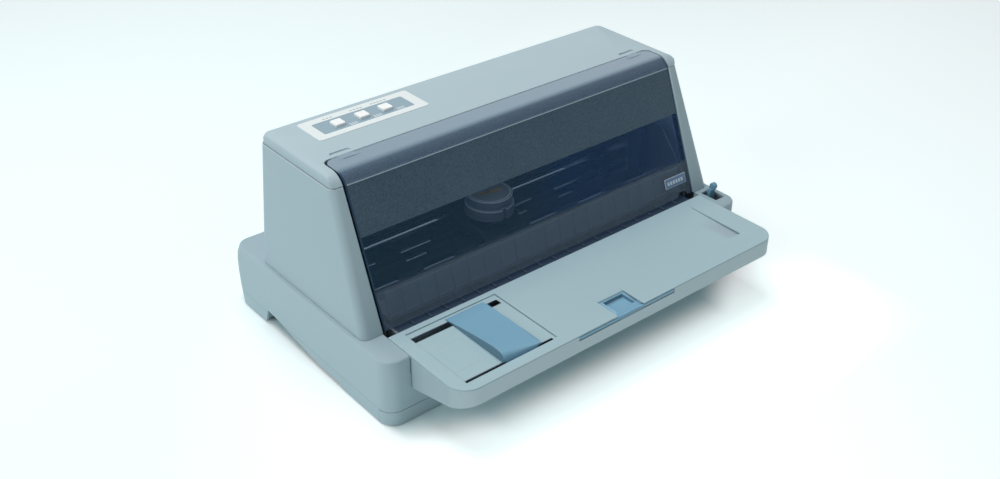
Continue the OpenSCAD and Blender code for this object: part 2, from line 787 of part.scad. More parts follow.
module frame_outline() {
    y = base_front;
    difference() {
        polygon([
            [y + 22, pan_floor + wall], [y + 212, pan_floor + wall], [y + 212, base_top + 35],
            [y + 160, base_top + 67], [y + 94, base_top + 67], [y + 56, base_top + 23],
            [y + 50, base_top - 5], [y + 50, base_top - 25], [y + 22, base_top - 25]
        ]);
        translate(rod_at) circle(rod_r);
        for (at = [platen_at, front_feed_at, rear_feed_at]) translate(at) circle(5);
        for (at = [front_pinch_at, rear_pinch_at]) translate(at) circle(2 + run_clear);
        translate(lever_at) circle(shaft_r + run_clear);
        // Lightening holes.
        translate([y + 185, base_top - 30]) circle(13);
        translate([y + 80, base_top - 42]) circle(13);
    }
}

module side_frame_left() {
    color(zinc) union() {
        along_x(-frame_half - sheet, -frame_half) frame_outline();
        box([-frame_half - sheet, base_front + 60, pan_floor + wall],
            [-frame_half + 10, base_front + 200, pan_floor + wall + sheet]);
    }
}

module side_frame_right() {
    color(zinc) union() {
        along_x(frame_half, frame_half + sheet) difference() {
            frame_outline();
            translate(pinion_at) circle(6);
        }
        box([frame_half - 8, base_front + 150, pan_floor + wall],
            [frame_half + sheet, base_front + 200, pan_floor + wall + sheet]);
        // Stud of the idler gear.
        rod_x(frame_half + sheet, gear_x[1] + 1, idler_at, shaft_r);
        rod_x(gear_x[1] + 0.4, gear_x[1] + 2, idler_at, shaft_r + 2);
    }
}

module front_rail() {
    z = plate_z - 0.6;
    color(zinc) union() {
        box([-frame_half, base_front + 84, z - sheet], [frame_half, base_front + 91, z]);
        box([-frame_half, base_front + 84, z - 7.5], [frame_half, base_front + 84 + sheet, z]);
    }
}

module rear_beam() {
    color(zinc) difference() {
        union() {
            box([-frame_half, belt_y - 11, beam_z], [frame_half, base_front + 211, beam_z + sheet]);
            box([-frame_half, base_front + 211 - sheet, beam_z - 9],
                [frame_half, base_front + 211, beam_z + sheet]);
        }
        disc_along_z([-pulley_x, belt_y], beam_z - 1, beam_z + 3, 6);
        disc_along_z([pulley_x, belt_y], beam_z - 1, beam_z + 3, 2);
        for (i = [-3:3]) disc_along_z([40 * i, belt_y], beam_z - 1, beam_z + 3, 5);
    }
}

module shaft_bushes() {
    color([0.78, 0.62, 0.32]) for (s = [-1, 1], at = [platen_at, front_feed_at, rear_feed_at])
        difference() {
            union() {
                rod_x(s * (frame_half + 0.75) - 2.25, s * (frame_half + 0.75) + 2.25, at, 5);
                rod_x(s * (frame_half - 1.1) - 1.1, s * (frame_half - 1.1) + 1.1, at, 7);
            }
            rod_x(s * frame_half - 6, s * frame_half + 6, at, shaft_r + run_clear);
        }
}

// ---------- carriage ----------

module carriage_rod() {
    color(steel) rod_x(-frame_half - 4, frame_half + 2.5, rod_at, rod_r);
}

module carriage() {
    x0 = carriage_x - carriage_half;
    x1 = carriage_x + carriage_half;
    y0 = base_front + 92;
    color(dark_plastic) difference() {
        union() {
            box([x0, rod_at[0] - 9, plate_z - 4], [x1, rod_at[0] + 15, plate_z + 16]);
            box([x0, y0, plate_z], [x1, rod_at[0], head_z]);
            for (x = [x0, x1 - 3]) along_x(x, x + 3) polygon([
                [y0, head_z], [y0, head_z + 2], [rod_at[0] - 8.5, plate_z + 16], [rod_at[0] - 8, head_z]
            ]);
            // Clamp that grips the belt.
            box([carriage_x - 8, rod_at[0] + 14, beam_z + 3], [carriage_x + 8, belt_y - 4, plate_z + 16]);
        }
        rod_x(x0 - 1, x1 + 1, rod_at, rod_r + run_clear);
        box([carriage_x - 10, platen_at[0] - 10, plate_z - 1],
            [carriage_x + 10, platen_at[0] + 10, head_z + 1]);
        disc_along_z([carriage_x, platen_at[0]], head_z, plate_z + 20, head_r + 0.4);
        box([carriage_x - 9, belt_y - belt_r - 1.5, belt_z[0] - 0.6],
            [carriage_x + 9, belt_y - belt_r + 1.5, plate_z + 17]);
    }
}

core_r = head_r - 7;

// The head's body from below: foot, two fins, a thick ring, a neck and a lid.
module head_body() {
    cylinder(r = core_r, h = head_top - head_z - 2);
    cylinder(r = head_r - 3.5, h = 4);
    for (z = [5.5, 8.8]) translate([0, 0, z]) cylinder(r = head_r - 3, h = 1.6);
    translate([0, 0, 12]) cylinder(r = head_r, h = 12.3);
    translate([0, 0, 24]) cylinder(r = head_r - 2.8, h = 6);
    translate([0, 0, 29.5]) cylinder(r = head_r - 1.7, h = head_top - head_z - 29.5);
}

module print_head() {
    color([0.16, 0.17, 0.18]) union() {
        translate([carriage_x, platen_at[0], head_z]) difference() {
            head_body();
            // Slot for the plug of the head's cable.
            translate([0, -head_r, 20]) cube([5.6, 8, 18], center = true);
        }
        // Nose that holds the ends of the wires.
        along_x(carriage_x - 5, carriage_x + 5) polygon([
            [platen_at[0] - 8, head_z + 1], [platen_at[0] - 3, paper_z + 1.7],
            [platen_at[0] + 3, paper_z + 1.7], [platen_at[0] + 8, head_z + 1]
        ]);
    }
}

module head_label() {
    color([0.86, 0.7, 0.3]) translate([carriage_x - 0.5, platen_at[0] - 1.4, 0]) rotate([0, 0, -10])
        box([-14.2, -3.6, head_top], [14.2, 3.6, head_top + 0.2]);
}

ribbon_y = [platen_at[0] - 6.4, platen_at[0] + 6.4];
ribbon_z = [paper_z + 1.1, paper_z + 1.3];

// Shoe that rides under the head and keeps the ribbon off the sheet.
module ribbon_guide() {
    z0 = paper_z + 0.4;
    y0 = ribbon_y[0] - 5;
    y1 = ribbon_y[1] + 5;
    color(dark_plastic) difference() {
        translate([carriage_x, 0, 0]) union() {
            box([-20, y0, z0], [20, y1, z0 + 0.4]);
            box([-20, y0, z0], [20, y0 + 1.5, plate_z]);
            box([-20, y1 - 1.5, z0], [20, y1, plate_z]);
        }
        translate([carriage_x, platen_at[0], z0 - 1]) cube([8, 7, 4], center = true);
        box([carriage_x - 4, platen_at[0] - 3.5, z0 - 1], [carriage_x + 4, platen_at[0] + 3.5, z0 + 1]);
    }
}

cartridge_z = [paper_z + 42, paper_z + 64];
arm_x = [frame_half - 12, frame_half - 3];
knob_at = [-120, base_front + 195];

module ribbon_cartridge() {
    y = base_front;
    color(dark_plastic) difference() {
        union() {
            along_z(cartridge_z[0], cartridge_z[1]) round_plan(-175, 175, y + 152, y + 210, 6, 10);
            box([-arm_x[1], y + 158, cartridge_z[0]], [arm_x[1], y + 180, cartridge_z[1] - 6]);
            for (s = [-1, 1]) {
                along_x(min(s * arm_x[0], s * arm_x[1]), max(s * arm_x[0], s * arm_x[1])) polygon([
                    [y + 112, paper_z + 0.7], [y + 128, paper_z + 0.7], [y + 130, cartridge_z[0] - 6],
                    [y + 160, cartridge_z[0]], [y + 170, cartridge_z[0]], [y + 170, cartridge_z[1] - 6],
                    [y + 112, cartridge_z[1] - 10]
                ]);
                // Peg that drops into the side frame.
                rod_x(min(s * arm_x[1], s * frame_half), max(s * arm_x[1], s * frame_half),
                    [y + 140, cartridge_z[0] + 4], 3);
            }
        }
        disc_along_z(knob_at, cartridge_z[1] - 8, cartridge_z[1] + 1, 3 + run_clear);
        box([-arm_x[0] - 6, ribbon_y[0] - 0.6, ribbon_z[0] - 0.4],
            [arm_x[0] + 6, ribbon_y[1] + 0.6, ribbon_z[1] + 0.4]);
    }
}

module ribbon() {
    color([0.05, 0.05, 0.06])
        box([-arm_x[0] - 5, ribbon_y[0], ribbon_z[0]], [arm_x[0] + 5, ribbon_y[1], ribbon_z[1]]);
}

module ribbon_knob() {
    color([0.2, 0.36, 0.55]) union() {
        disc_along_z(knob_at, cartridge_z[1] - 7, cartridge_z[1] + 1, 3);
        disc_along_z(knob_at, cartridge_z[1] + 0.4, cartridge_z[1] + 6, 8);
        translate([knob_at[0], knob_at[1], 0])
            box([-6.5, -1, cartridge_z[1] + 5.9], [6.5, 1, cartridge_z[1] + 9]);
    }
}

// ---------- feed ----------

module sleeve(x0, x1, at, r, bore_r) {
    difference() {
        rod_x(x0, x1, at, r);
        rod_x(x0 - 1, x1 + 1, at, bore_r);
    }
}

module platen_rubber() {
    color(rubber_black) sleeve(-roller_half - 15, roller_half + 15, platen_at, platen_r, shaft_r);
}

module platen_shaft() {
    color(steel) rod_x(-frame_half - 2.8, frame_half + 2.8, platen_at, shaft_r);
}

sleeve_w = 40;

module feed_sleeves(at) {
    color([0.24, 0.24, 0.26]) for (i = [-2:2])
        sleeve(70 * i - sleeve_w / 2, 70 * i + sleeve_w / 2, at, feed_r, shaft_r);
}

module front_feed_roller() feed_sleeves(front_feed_at);
module rear_feed_roller() feed_sleeves(rear_feed_at);

module feed_shaft(at) {
    color(steel) rod_x(-frame_half - 2.8, gear_x[1] + 2, at, shaft_r);
}

module front_feed_shaft() feed_shaft(front_feed_at);
module rear_feed_shaft() feed_shaft(rear_feed_at);

module pinch_rollers(at) {
    color([0.3, 0.3, 0.32]) union() {
        rod_x(-frame_half - 3, frame_half + 3, at, 2);
        for (i = [-2:2]) rod_x(70 * i - 15, 70 * i + 15, at, pinch_r);
    }
}

module front_pinch_rollers() pinch_rollers(front_pinch_at);
module rear_pinch_rollers() pinch_rollers(rear_pinch_at);

module front_feed_gear() {
    color([0.92, 0.92, 0.88])
        spur_gear(feed_teeth, front_feed_at, mesh_turn(idler_turn, feed_teeth), shaft_r);
}

module rear_feed_gear() {
    color([0.92, 0.92, 0.88]) spur_gear(feed_teeth, rear_feed_at,
        mesh_turn(180 - idler_turn, feed_teeth), shaft_r);
}

module idler_gear() {
    color([0.85, 0.85, 0.8]) spur_gear(idler_teeth, idler_at, idler_turn, shaft_r + run_clear);
}

module motor_pinion() {
    color([0.78, 0.62, 0.32]) union() {
        spur_gear(pinion_teeth, pinion_at, mesh_turn(pinion_turn, pinion_teeth), 2.5);
        rod_x(frame_half - 1, gear_x[1], pinion_at, 2.5);
    }
}

motor_r = 18;

module feed_motor() {
    color(zinc) difference() {
        union() {
            rod_x(frame_half - 40, frame_half - 2, pinion_at, motor_r);
            along_x(frame_half - 2, frame_half) translate(pinion_at) {
                circle(10);
                polygon([[-25, -5], [25, -5], [25, 5], [-25, 5]]);
            }
            rod_x(frame_half - 0.1, frame_half + sheet, pinion_at, 6);
        }
        rod_x(frame_half - 4, frame_half + 3, pinion_at, 2.5 + 0.3);
    }
}

module carriage_motor() {
    at = [-pulley_x, belt_y];
    color(zinc) difference() {
        union() {
            disc_along_z(at, beam_z - 42, beam_z - 2, motor_r);
            along_z(beam_z - 2, beam_z) translate(at) round_plan(-19, 19, -18, 18, 3, 3);
            disc_along_z(at, beam_z - 0.1, beam_z + sheet, 6);
        }
        disc_along_z(at, beam_z - 4, beam_z + 3, 2.3);
    }
}

module pulley(x, stem_from) {
    color(zinc) union() {
        disc_along_z([x, belt_y], stem_from, belt_z[0], 2);
        disc_along_z([x, belt_y], belt_z[0] - 1.6, belt_z[1] + 1.6, belt_r - 1);
        for (z = [belt_z[0] - 1.8, belt_z[1] + 0.6])
            disc_along_z([x, belt_y], z, z + 1.2, belt_r + 2);
    }
}

module drive_pulley() pulley(-pulley_x, beam_z - 3);

module idler_pulley() {
    difference() {
        pulley(pulley_x, belt_z[0] - 1);
        color(steel) disc_along_z([pulley_x, belt_y], belt_z[0] - 3, belt_z[1] + 3, 2 + run_clear);
    }
}

module belt_loop(r) {
    for (x = [-pulley_x, pulley_x]) translate([x, belt_y]) circle(r);
    translate([0, belt_y]) square([2 * pulley_x, 2 * r], center = true);
}

module timing_belt() {
    color(rubber_black) along_z(belt_z[0], belt_z[1]) difference() {
        belt_loop(belt_r + 0.8);
        belt_loop(belt_r - 0.8);
    }
}

cable_z = [paper_z + 28, paper_z + 40];
cable_y = [rod_at[0] + 14, base_front + 208];
cable_turn_x = -115;

// Flat cable: fixed behind the belt, folded back once, and clamped to the carriage.
module head_cable() {
    r = (cable_y[1] - cable_y[0]) / 2;
    t = 0.5;
    color([0.75, 0.76, 0.74]) along_z(cable_z[0], cable_z[1]) {
        translate([cable_turn_x, cable_y[1] - t]) square([180, t]);
        translate([cable_turn_x, cable_y[0]]) square([carriage_x + 20 - cable_turn_x, t]);
        translate([cable_turn_x, (cable_y[0] + cable_y[1]) / 2]) difference() {
            circle(r);
            circle(r - t);
            translate([0, -2 * r]) square([4 * r, 4 * r]);
        }
    }
}

// ---------- electrics ----------

board_at_z = 24;

module main_board() {
    top = board_at_z + 1.6;
    y1 = base_rear - 5.5;
    color([0.16, 0.42, 0.28]) union() {
        box([-190, base_front + 160, board_at_z], [55, y1, top]);
        for (x = [-180, -60, 45], y = [base_front + 166, y1 - 8])
            disc_along_z([x, y], pan_floor + wall, board_at_z + 0.1, 3);
        box([-100, base_front + 190, top - 0.1], [-68, base_front + 222, top + 3]);
        for (i = [0:2]) box([-40 + 26 * i, base_front + 180, top - 0.1],
            [-24 + 26 * i, base_front + 215, top + 4]);
        for (i = [0:3]) disc_along_z([-172 + 16 * i, base_front + 185], top - 0.1, top + 12, 5);
        // Interface socket: a shell open at the back.
        difference() {
            union() {
                box([connector_box[0][0] + 0.3, y1 - 14, connector_box[0][1] + 0.3],
                    [connector_box[1][0] - 0.3, base_rear - 0.3, connector_box[1][1] - 0.3]);
                box([connector_box[0][0] + 3, y1 - 14, top - 0.1],
                    [connector_box[1][0] - 3, y1, connector_box[0][1] + 1]);
            }
            box([connector_box[0][0] + 3, y1 - 6, connector_box[0][1] + 2.3],
                [connector_box[1][0] - 3, base_rear + 1, connector_box[1][1] - 2.3]);
        }
    }
}

module power_board() {
    top = board_at_z + 1.6;
    y1 = base_rear - 30;
    color([0.62, 0.5, 0.3]) union() {
        box([78, base_front + 165, board_at_z], [198, y1, top]);
        for (x = [86, 190], y = [base_front + 172, y1 - 8])
            disc_along_z([x, y], pan_floor + wall, board_at_z + 0.1, 3);
        box([90, base_front + 175, top - 0.1], [130, base_front + 210, top + 34]);
        for (i = [0:1]) disc_along_z([150 + 26 * i, base_front + 190], top - 0.1, top + 30, 10);
        box([140, base_front + 212, top - 0.1], [190, base_front + 215, top + 30]);
    }
}

module power_inlet() {
    x0 = inlet_box[0][0] + 0.3;
    x1 = inlet_box[1][0] - 0.3;
    z0 = inlet_box[0][1] + 0.3;
    z1 = inlet_box[1][1] - 0.3;
    color(dark_plastic) union() {
        difference() {
            box([x0, base_rear - 26, z0], [x1, base_rear - 0.3, z1]);
            box([x0 + 3, base_rear - 20, z0 + 3], [x1 - 3, base_rear, z1 - 3]);
        }
        for (i = [-1:1]) translate([(x0 + x1) / 2 + 7 * i, 0, (z0 + z1) / 2])
            box([-1, base_rear - 21, -2.5 + (i == 0 ? 3 : 0)], [1, base_rear - 7, 2.5 + (i == 0 ? 3 : 0)]);
        // Housing of the rocker, with its pivot.
        difference() {
            box([rocker_x - 8.7, base_rear - 20, 27.8], [rocker_x + 8.7, base_rear - 0.3, 50.2]);
            box([rocker_x - 6.4, base_rear - 18, rocker_at[1] - 10.5],
                [rocker_x + 6.4, base_rear, rocker_at[1] + 10.5]);
        }
        rod_x(rocker_x - 7, rocker_x + 7, rocker_at, 1);
    }
}

module power_switch() {
    color([0.1, 0.1, 0.11]) along_x(rocker_x - 6, rocker_x + 6) translate(rocker_at) difference() {
        rotate(rocker_tilt) polygon([
            [-3, -7], [4.8, -8.8], [3.4, -3], [3, 0], [3.4, 3], [4.8, 8.8], [-3, 7]
        ]);
        circle(1 + run_clear);
    }
}

bottom_pan();
rubber_feet();
base_housing();
upper_housing();
top_cap();
rear_cover();
case_screws();
front_cover();
cover_hinge_pins();
cover_badge();
control_label();
panel_inset();
button_left();
button_middle();
button_right();
button_board();
tray();
tray_bottom();
tray_extension();
edge_guide();
release_lever();
lever_shaft();
front_paper_guide();
rear_paper_guide();
upper_paper_guide();
side_frame_left();
side_frame_right();
front_rail();
rear_beam();
shaft_bushes();
carriage_rod();
carriage();
print_head();
head_label();
ribbon_guide();
ribbon_cartridge();
ribbon();
ribbon_knob();
platen_rubber();
platen_shaft();
front_feed_roller();
front_feed_shaft();
rear_feed_roller();
rear_feed_shaft();
front_pinch_rollers();
rear_pinch_rollers();
front_feed_gear();
rear_feed_gear();
idler_gear();
motor_pinion();
feed_motor();
carriage_motor();
drive_pulley();
idler_pulley();
timing_belt();
head_cable();
main_board();
power_board();
power_inlet();
power_switch();
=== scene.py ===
# %% [markdown]
# # A flatbed dot matrix printer, piece by piece
#
# A sheet goes in flat from the tray in front, passes over a rubber roller under the print head
# and leaves at the back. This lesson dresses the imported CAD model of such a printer: it loads the
# frame, sets up a small studio, mixes the finishes, and then makes each visible piece again with
# the rounded edges, ribs and grain that the moulded and turned parts have.

# %% The frame
import math

import bmesh
import bpy
import numpy as np
from mathutils import Matrix, Vector


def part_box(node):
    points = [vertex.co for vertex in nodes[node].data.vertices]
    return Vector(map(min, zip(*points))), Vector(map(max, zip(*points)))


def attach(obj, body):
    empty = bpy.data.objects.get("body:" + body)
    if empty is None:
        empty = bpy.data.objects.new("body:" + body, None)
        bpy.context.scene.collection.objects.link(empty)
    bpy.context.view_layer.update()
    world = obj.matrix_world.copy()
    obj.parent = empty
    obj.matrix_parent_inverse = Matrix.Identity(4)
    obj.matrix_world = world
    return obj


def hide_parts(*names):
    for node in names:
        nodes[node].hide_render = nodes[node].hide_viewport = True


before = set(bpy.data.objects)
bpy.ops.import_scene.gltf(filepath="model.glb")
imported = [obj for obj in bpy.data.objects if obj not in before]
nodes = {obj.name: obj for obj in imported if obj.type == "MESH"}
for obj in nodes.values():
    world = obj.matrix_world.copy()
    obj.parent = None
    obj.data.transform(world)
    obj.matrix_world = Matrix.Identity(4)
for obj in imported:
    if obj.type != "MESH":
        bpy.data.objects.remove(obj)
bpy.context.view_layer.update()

# %% [markdown]
# ## Camera
#
# The printer is seen from its left front corner, from a little above a person's eye at a desk. The
# camera could be turned by Euler angles; here its three axes are worked out from yaw, pitch and
# roll, because each of them then has a plain meaning and can be changed alone.

# %% Camera
IMAGE_WIDTH = 1000
FOCAL_PX = 1188.44
SENSOR_MM = 36.0
CLIP_NEAR, CLIP_FAR = 0.01, 50.0
EYE = (-0.70497, -0.81805, 0.73336)
YAW, PITCH, ROLL = (math.radians(a) for a in (39.92, 31.71, 0.41))


def camera_axes(yaw, pitch, roll):
    """Right, up and back as columns: forward turns from +Y towards +X by yaw and dips by pitch, the
    level right is square to it, and roll turns right and up about forward."""
    forward = np.array([math.sin(yaw) * math.cos(pitch), math.cos(yaw) * math.cos(pitch), -math.sin(pitch)])
    level = np.array([math.cos(yaw), -math.sin(yaw), 0.0])
    over = np.cross(level, forward)
    right = math.cos(roll) * level + math.sin(roll) * over
    up = math.cos(roll) * over - math.sin(roll) * level
    return np.column_stack([right, up, -forward])


lens = bpy.data.cameras.new("camera")
lens.sensor_width = SENSOR_MM
lens.lens = FOCAL_PX / IMAGE_WIDTH * SENSOR_MM
lens.clip_start, lens.clip_end = CLIP_NEAR, CLIP_FAR
camera = bpy.data.objects.new("camera", lens)
axes = np.eye(4)
axes[:3, :3] = camera_axes(YAW, PITCH, ROLL)
axes[:3, 3] = EYE
camera.matrix_world = Matrix(axes.tolist())
bpy.context.scene.collection.objects.link(camera)
bpy.context.scene.camera = camera
print("lens", round(lens.lens, 2), "mm")

# %% [markdown]
# ## Shader maths
#
# A finish is mostly arithmetic on numbers that change over the surface. Wiring Math nodes by hand
# hides that arithmetic, so a small class wraps a socket and lets sums be written as sums.


# %% Sockets as numbers
class Wire:
    """An output socket that can be added, multiplied, compared and clipped like a number."""

    def __init__(self, tree, socket):
        self.tree, self.socket = tree, socket

    def math(self, operation, *terms, clamp=False):
        node = self.tree.nodes.new("ShaderNodeMath")
        node.operation, node.use_clamp = operation, clamp
        for place, term in zip(node.inputs, terms):
            put(self.tree, place, term)
        return Wire(self.tree, node.outputs[0])

    def abs(self):
        return self.math("ABSOLUTE", self)

    def clip(self):
        """Kept between 0 and 1."""
        return self.math("ADD", self, 0.0, clamp=True)

    def ramp(self, start, length):
        """0 up to start and 1 from start + length on; a negative length runs the other way."""
        return ((self - start) / length).clip()

    def within(self, low, high, blur):
        """1 between low and high, falling to 0 over blur outside them."""
        return ((self - low) / blur + 1).clip() * ((high - self) / blur + 1).clip()

    def every(self, pitch):
        """Distance to the nearest whole multiple of pitch."""
        return self.math("PINGPONG", self, pitch / 2)


def put(tree, place, value):
    """Links a wire to an input socket, or sets the socket's own value."""
    if isinstance(value, Wire):
        tree.links.new(value.socket, place)
    else:
        place.default_value = value


def two_term(operation, swapped=False):
    """A method of Wire for one Math node; swapped is for a plain number in front of the sign."""
    def method(self, other):
        return self.math(operation, *((other, self) if swapped else (self, other)))
    return method


SIGNS = {"add": "ADD", "sub": "SUBTRACT", "mul": "MULTIPLY"}
for sign, operation in {**SIGNS, "truediv": "DIVIDE", "gt": "GREATER_THAN", "lt": "LESS_THAN"}.items():
    setattr(Wire, f"__{sign}__", two_term(operation))
for sign, operation in SIGNS.items():
    setattr(Wire, f"__r{sign}__", two_term(operation, swapped=True))

# %% A finish
class Finish:
    """A material with one Principled shader. `add` puts in any other node."""

    def __init__(self, name, **constants):
        self.material = bpy.data.materials.new(name)
        self.material.use_nodes = True
        self.tree = self.material.node_tree
        self.shader = self.tree.nodes["Principled BSDF"]
        self.set({key.replace("_", " "): value for key, value in constants.items()})

    def set(self, values):
        for key, value in values.items():
            put(self.tree, self.shader.inputs[key], value)

    def add(self, kind, settings=None, links=None, out=0):
        node = self.tree.nodes.new("ShaderNode" + kind)
        for key, value in (settings or {}).items():
            setattr(node, key, value)
        for key, value in (links or {}).items():
            put(self.tree, node.inputs[key], value)
        return Wire(self.tree, node.outputs[out])

    def place(self):
        return self.add("TexCoord", out="Object")

    def xyz(self):
        """The place on the object in millimetres, as three wires."""
        split = self.add("SeparateXYZ", links={0: self.place()}).socket.node
        return [Wire(self.tree, socket) * 1000 for socket in split.outputs]

    def noise(self, per_mm, detail, stretch=(1, 1, 1)):
        """Soft random values from 0 to 1, changing about per_mm times a millimetre."""
        where = self.add("Mapping", links={"Vector": self.place(), "Scale": stretch})
        return self.add("TexNoise", links={"Vector": where, "Scale": per_mm * 1000, "Detail": detail})

    def mix(self, share, a, b):
        """Colour a where share is 0 and b where it is 1."""
        return self.add("Mix", {"data_type": "RGBA"}, {0: share, 6: a, 7: b}, out=2)

    def bump(self, height, depth_mm, under=None):
        links = {"Height": height, "Strength": 1.0, "Distance": depth_mm / 1000}
        if under is not None:
            links["Normal"] = under
        return self.add("Bump", links=links)

    def rounding(self, radius_mm):
        """The normal of the surface with its edges rounded off."""
        return self.add("Bevel", {"samples": 4}, {"Radius": radius_mm / 1000})

    def edges(self, rounded):
        """1 on an edge, where the rounded normal has turned away from the true one, and 0 elsewhere."""
        true = self.add("NewGeometry", out="Normal")
        along = self.add("VectorMath", {"operation": "DOT_PRODUCT"}, {0: rounded, 1: true}, out="Value")
        return ((1 - along) * 4).clip()


def rgb(code):
    """Linear colour with alpha 1 from a hexadecimal screen colour."""
    screen = np.array([int(code[i : i + 2], 16) / 255 for i in (0, 2, 4)])
    linear = np.where(screen <= 0.04045, screen / 12.92, ((screen + 0.055) / 1.055) ** 2.4)
    return (*(float(v) for v in linear), 1.0)


def shade(colour, factor, lift=0.0):
    """A colour times factor, and then lifted towards white by a share of what it lacks."""
    return (*(min(1, c * factor + (1 - c) * lift) for c in colour[:3]), 1.0)


# %% [markdown]
# ## Studio
#
# The printer stands on a seamless white sweep under large soft lamps. The floor is a plain diffuse
# white that takes the shadow; towards the camera and in gloss it is lifted to paper white, so that
# the background is white without more light on the case.

# %% Floor and sky
PAPER_WHITE, SKY_BLUE, SKY_STRENGTH = (0.945, 0.985, 0.985, 1), (0.93, 0.98, 1.0, 1), 0.22
FLOOR_TINTS = (0.78, 0.95, 0.955, 1), (0.79, 0.96, 0.965, 1)
FLOOR_HALF = 9.0
GLOW_BEHIND, GLOW_BEFORE = (0.235, 0.20, 0.205, 1.0), (0.485, 0.41, 0.395, 1.0)
GLOW_RIGHT, GLOW_NEAR = (0.345, 0.31, 0.315, 1.0), (0.62, 0.66, 0.65, 1.0)
BLACK = (0, 0, 0, 1)


def seen_ray(tree):
    """1 for rays from the camera, or by way of gloss or clear plastic, and 0 for light on surfaces."""
    path = tree.nodes.new("ShaderNodeLightPath")
    seen = Wire(tree, path.outputs["Is Camera Ray"])
    for name in ("Is Glossy Ray", "Is Transmission Ray"):
        seen = seen.math("MAXIMUM", seen, Wire(tree, path.outputs[name]))
    return seen


def paper_white(tree, shader_socket):
    """Puts plain white light in the shader's place for rays that are seen."""
    white = tree.nodes.new("ShaderNodeEmission")
    white.inputs["Color"].default_value = PAPER_WHITE
    mixer = tree.nodes.new("ShaderNodeMixShader")
    put(tree, mixer.inputs[0], seen_ray(tree))
    tree.links.new(shader_socket, mixer.inputs[1])
    tree.links.new(white.outputs[0], mixer.inputs[2])
    return mixer.outputs[0]


def floor_paper():
    """Pale diffuse paper that also glows a little for the camera, so that its white is even although
    the lamps light it unevenly: most in front, less behind and on the right, and not at all under
    the printer, where only the lamps' own light is left and the shadow stays deep."""
    f = Finish("floor_paper", Roughness=0.9, Emission_Strength=1.0)
    x, y, _ = f.xyz()
    wide = x.abs()
    front = (x - y).ramp(-450, 500) * (x * 0.3 - y).ramp(-450, 500)
    right = (x - y * 0.5).ramp(50, 400)
    glow = f.mix(front, GLOW_BEHIND, f.mix(right, GLOW_BEFORE, GLOW_RIGHT))
    near = y.ramp(-330, 100) * wide.ramp(330, -80) * y.ramp(-125, -58)
    # The glow starts under the tray's front edge, and further back beside the tray.
    corners = x.ramp(-150, -88) * 44 + x.ramp(150, 88) * 60
    before = (corners - y).ramp(130, 53)
    before = before * before * (3 - before * 2)
    shown = 1 - (1 - before) * (1 - wide.ramp(232, 9)) * (1 - y.ramp(176, 9))
    f.set({
        "Base Color": f.mix(f.noise(0.4, 2), *FLOOR_TINTS),
        "Emission Color": f.mix(seen_ray(f.tree) * shown, BLACK, f.mix(near, glow, GLOW_NEAR)),
    })
    return f


floor_finish = floor_paper()
floor_mesh = bpy.data.meshes.new("floor")
floor_corners = [(x * FLOOR_HALF, y * FLOOR_HALF, 0) for x, y in ((-1, -1), (1, -1), (1, 1), (-1, 1))]
floor_mesh.from_pydata(floor_corners, [], [(0, 1, 2, 3)])
floor = bpy.data.objects.new("floor", floor_mesh)
floor_mesh.materials.append(floor_finish.material)
bpy.context.scene.collection.objects.link(floor)

sky = bpy.data.worlds.new("sky")
bpy.context.scene.world = sky
sky.use_nodes = True
sky_light = sky.node_tree.nodes["Background"]
sky_light.inputs["Color"].default_value = SKY_BLUE
sky_light.inputs["Strength"].default_value = SKY_STRENGTH
sky.node_tree.links.new(
    paper_white(sky.node_tree, sky_light.outputs[0]),
    sky.node_tree.nodes["World Output"].inputs["Surface"])

# %% Lamps
LAMPS = {
    # name: (place, aimed at, side of the square in metres, watts)
    "lamp_above": ((-0.25, 0.55, 2.1), (0.0, 0.05, 0.1), 1.3, 27.5),
    "lamp_left": ((-2.0, -0.1, 1.1), (-0.1, 0.0, 0.1), 1.4, 11.2),
    "lamp_front": ((0.6, -1.9, 1.6), (0.0, 0.0, 0.1), 1.2, 1.7),
}


def aimed(place, target):
    """Matrix of a lamp at place whose -Z axis points at target."""
    back = np.subtract(place, target)
    back = back / np.linalg.norm(back)
    right = np.cross((0.0, 1.0, 0.0), back)
    right = right / np.linalg.norm(right)
    matrix = np.eye(4)
    matrix[:3, :4] = np.column_stack([right, np.cross(back, right), back, place])
    return Matrix(matrix.tolist())


for lamp_name, (place, target, size, watts) in LAMPS.items():
    lamp = bpy.data.lights.new(lamp_name, "AREA")
    lamp.size, lamp.energy = size, watts
    holder = bpy.data.objects.new(lamp_name, lamp)
    holder.matrix_world = aimed(place, target)
    bpy.context.scene.collection.objects.link(holder)
bpy.context.scene.view_settings.view_transform = "Standard"
print("lamps", {key: row[-1] for key, row in LAMPS.items()})

# %% [markdown]
# ## Plastics
#
# The case, the blue parts and the black parts are injection moulded, from steel moulds that were
# spark eroded: the surface is a fine even pimple, a little shinier where use has polished it along
# the edges. A picture of grain would repeat and blur, so noise in three dimensions makes it.


# %% Moulded plastic
PALE_LIFT, LINE_SHADE = 0.18, 0.35


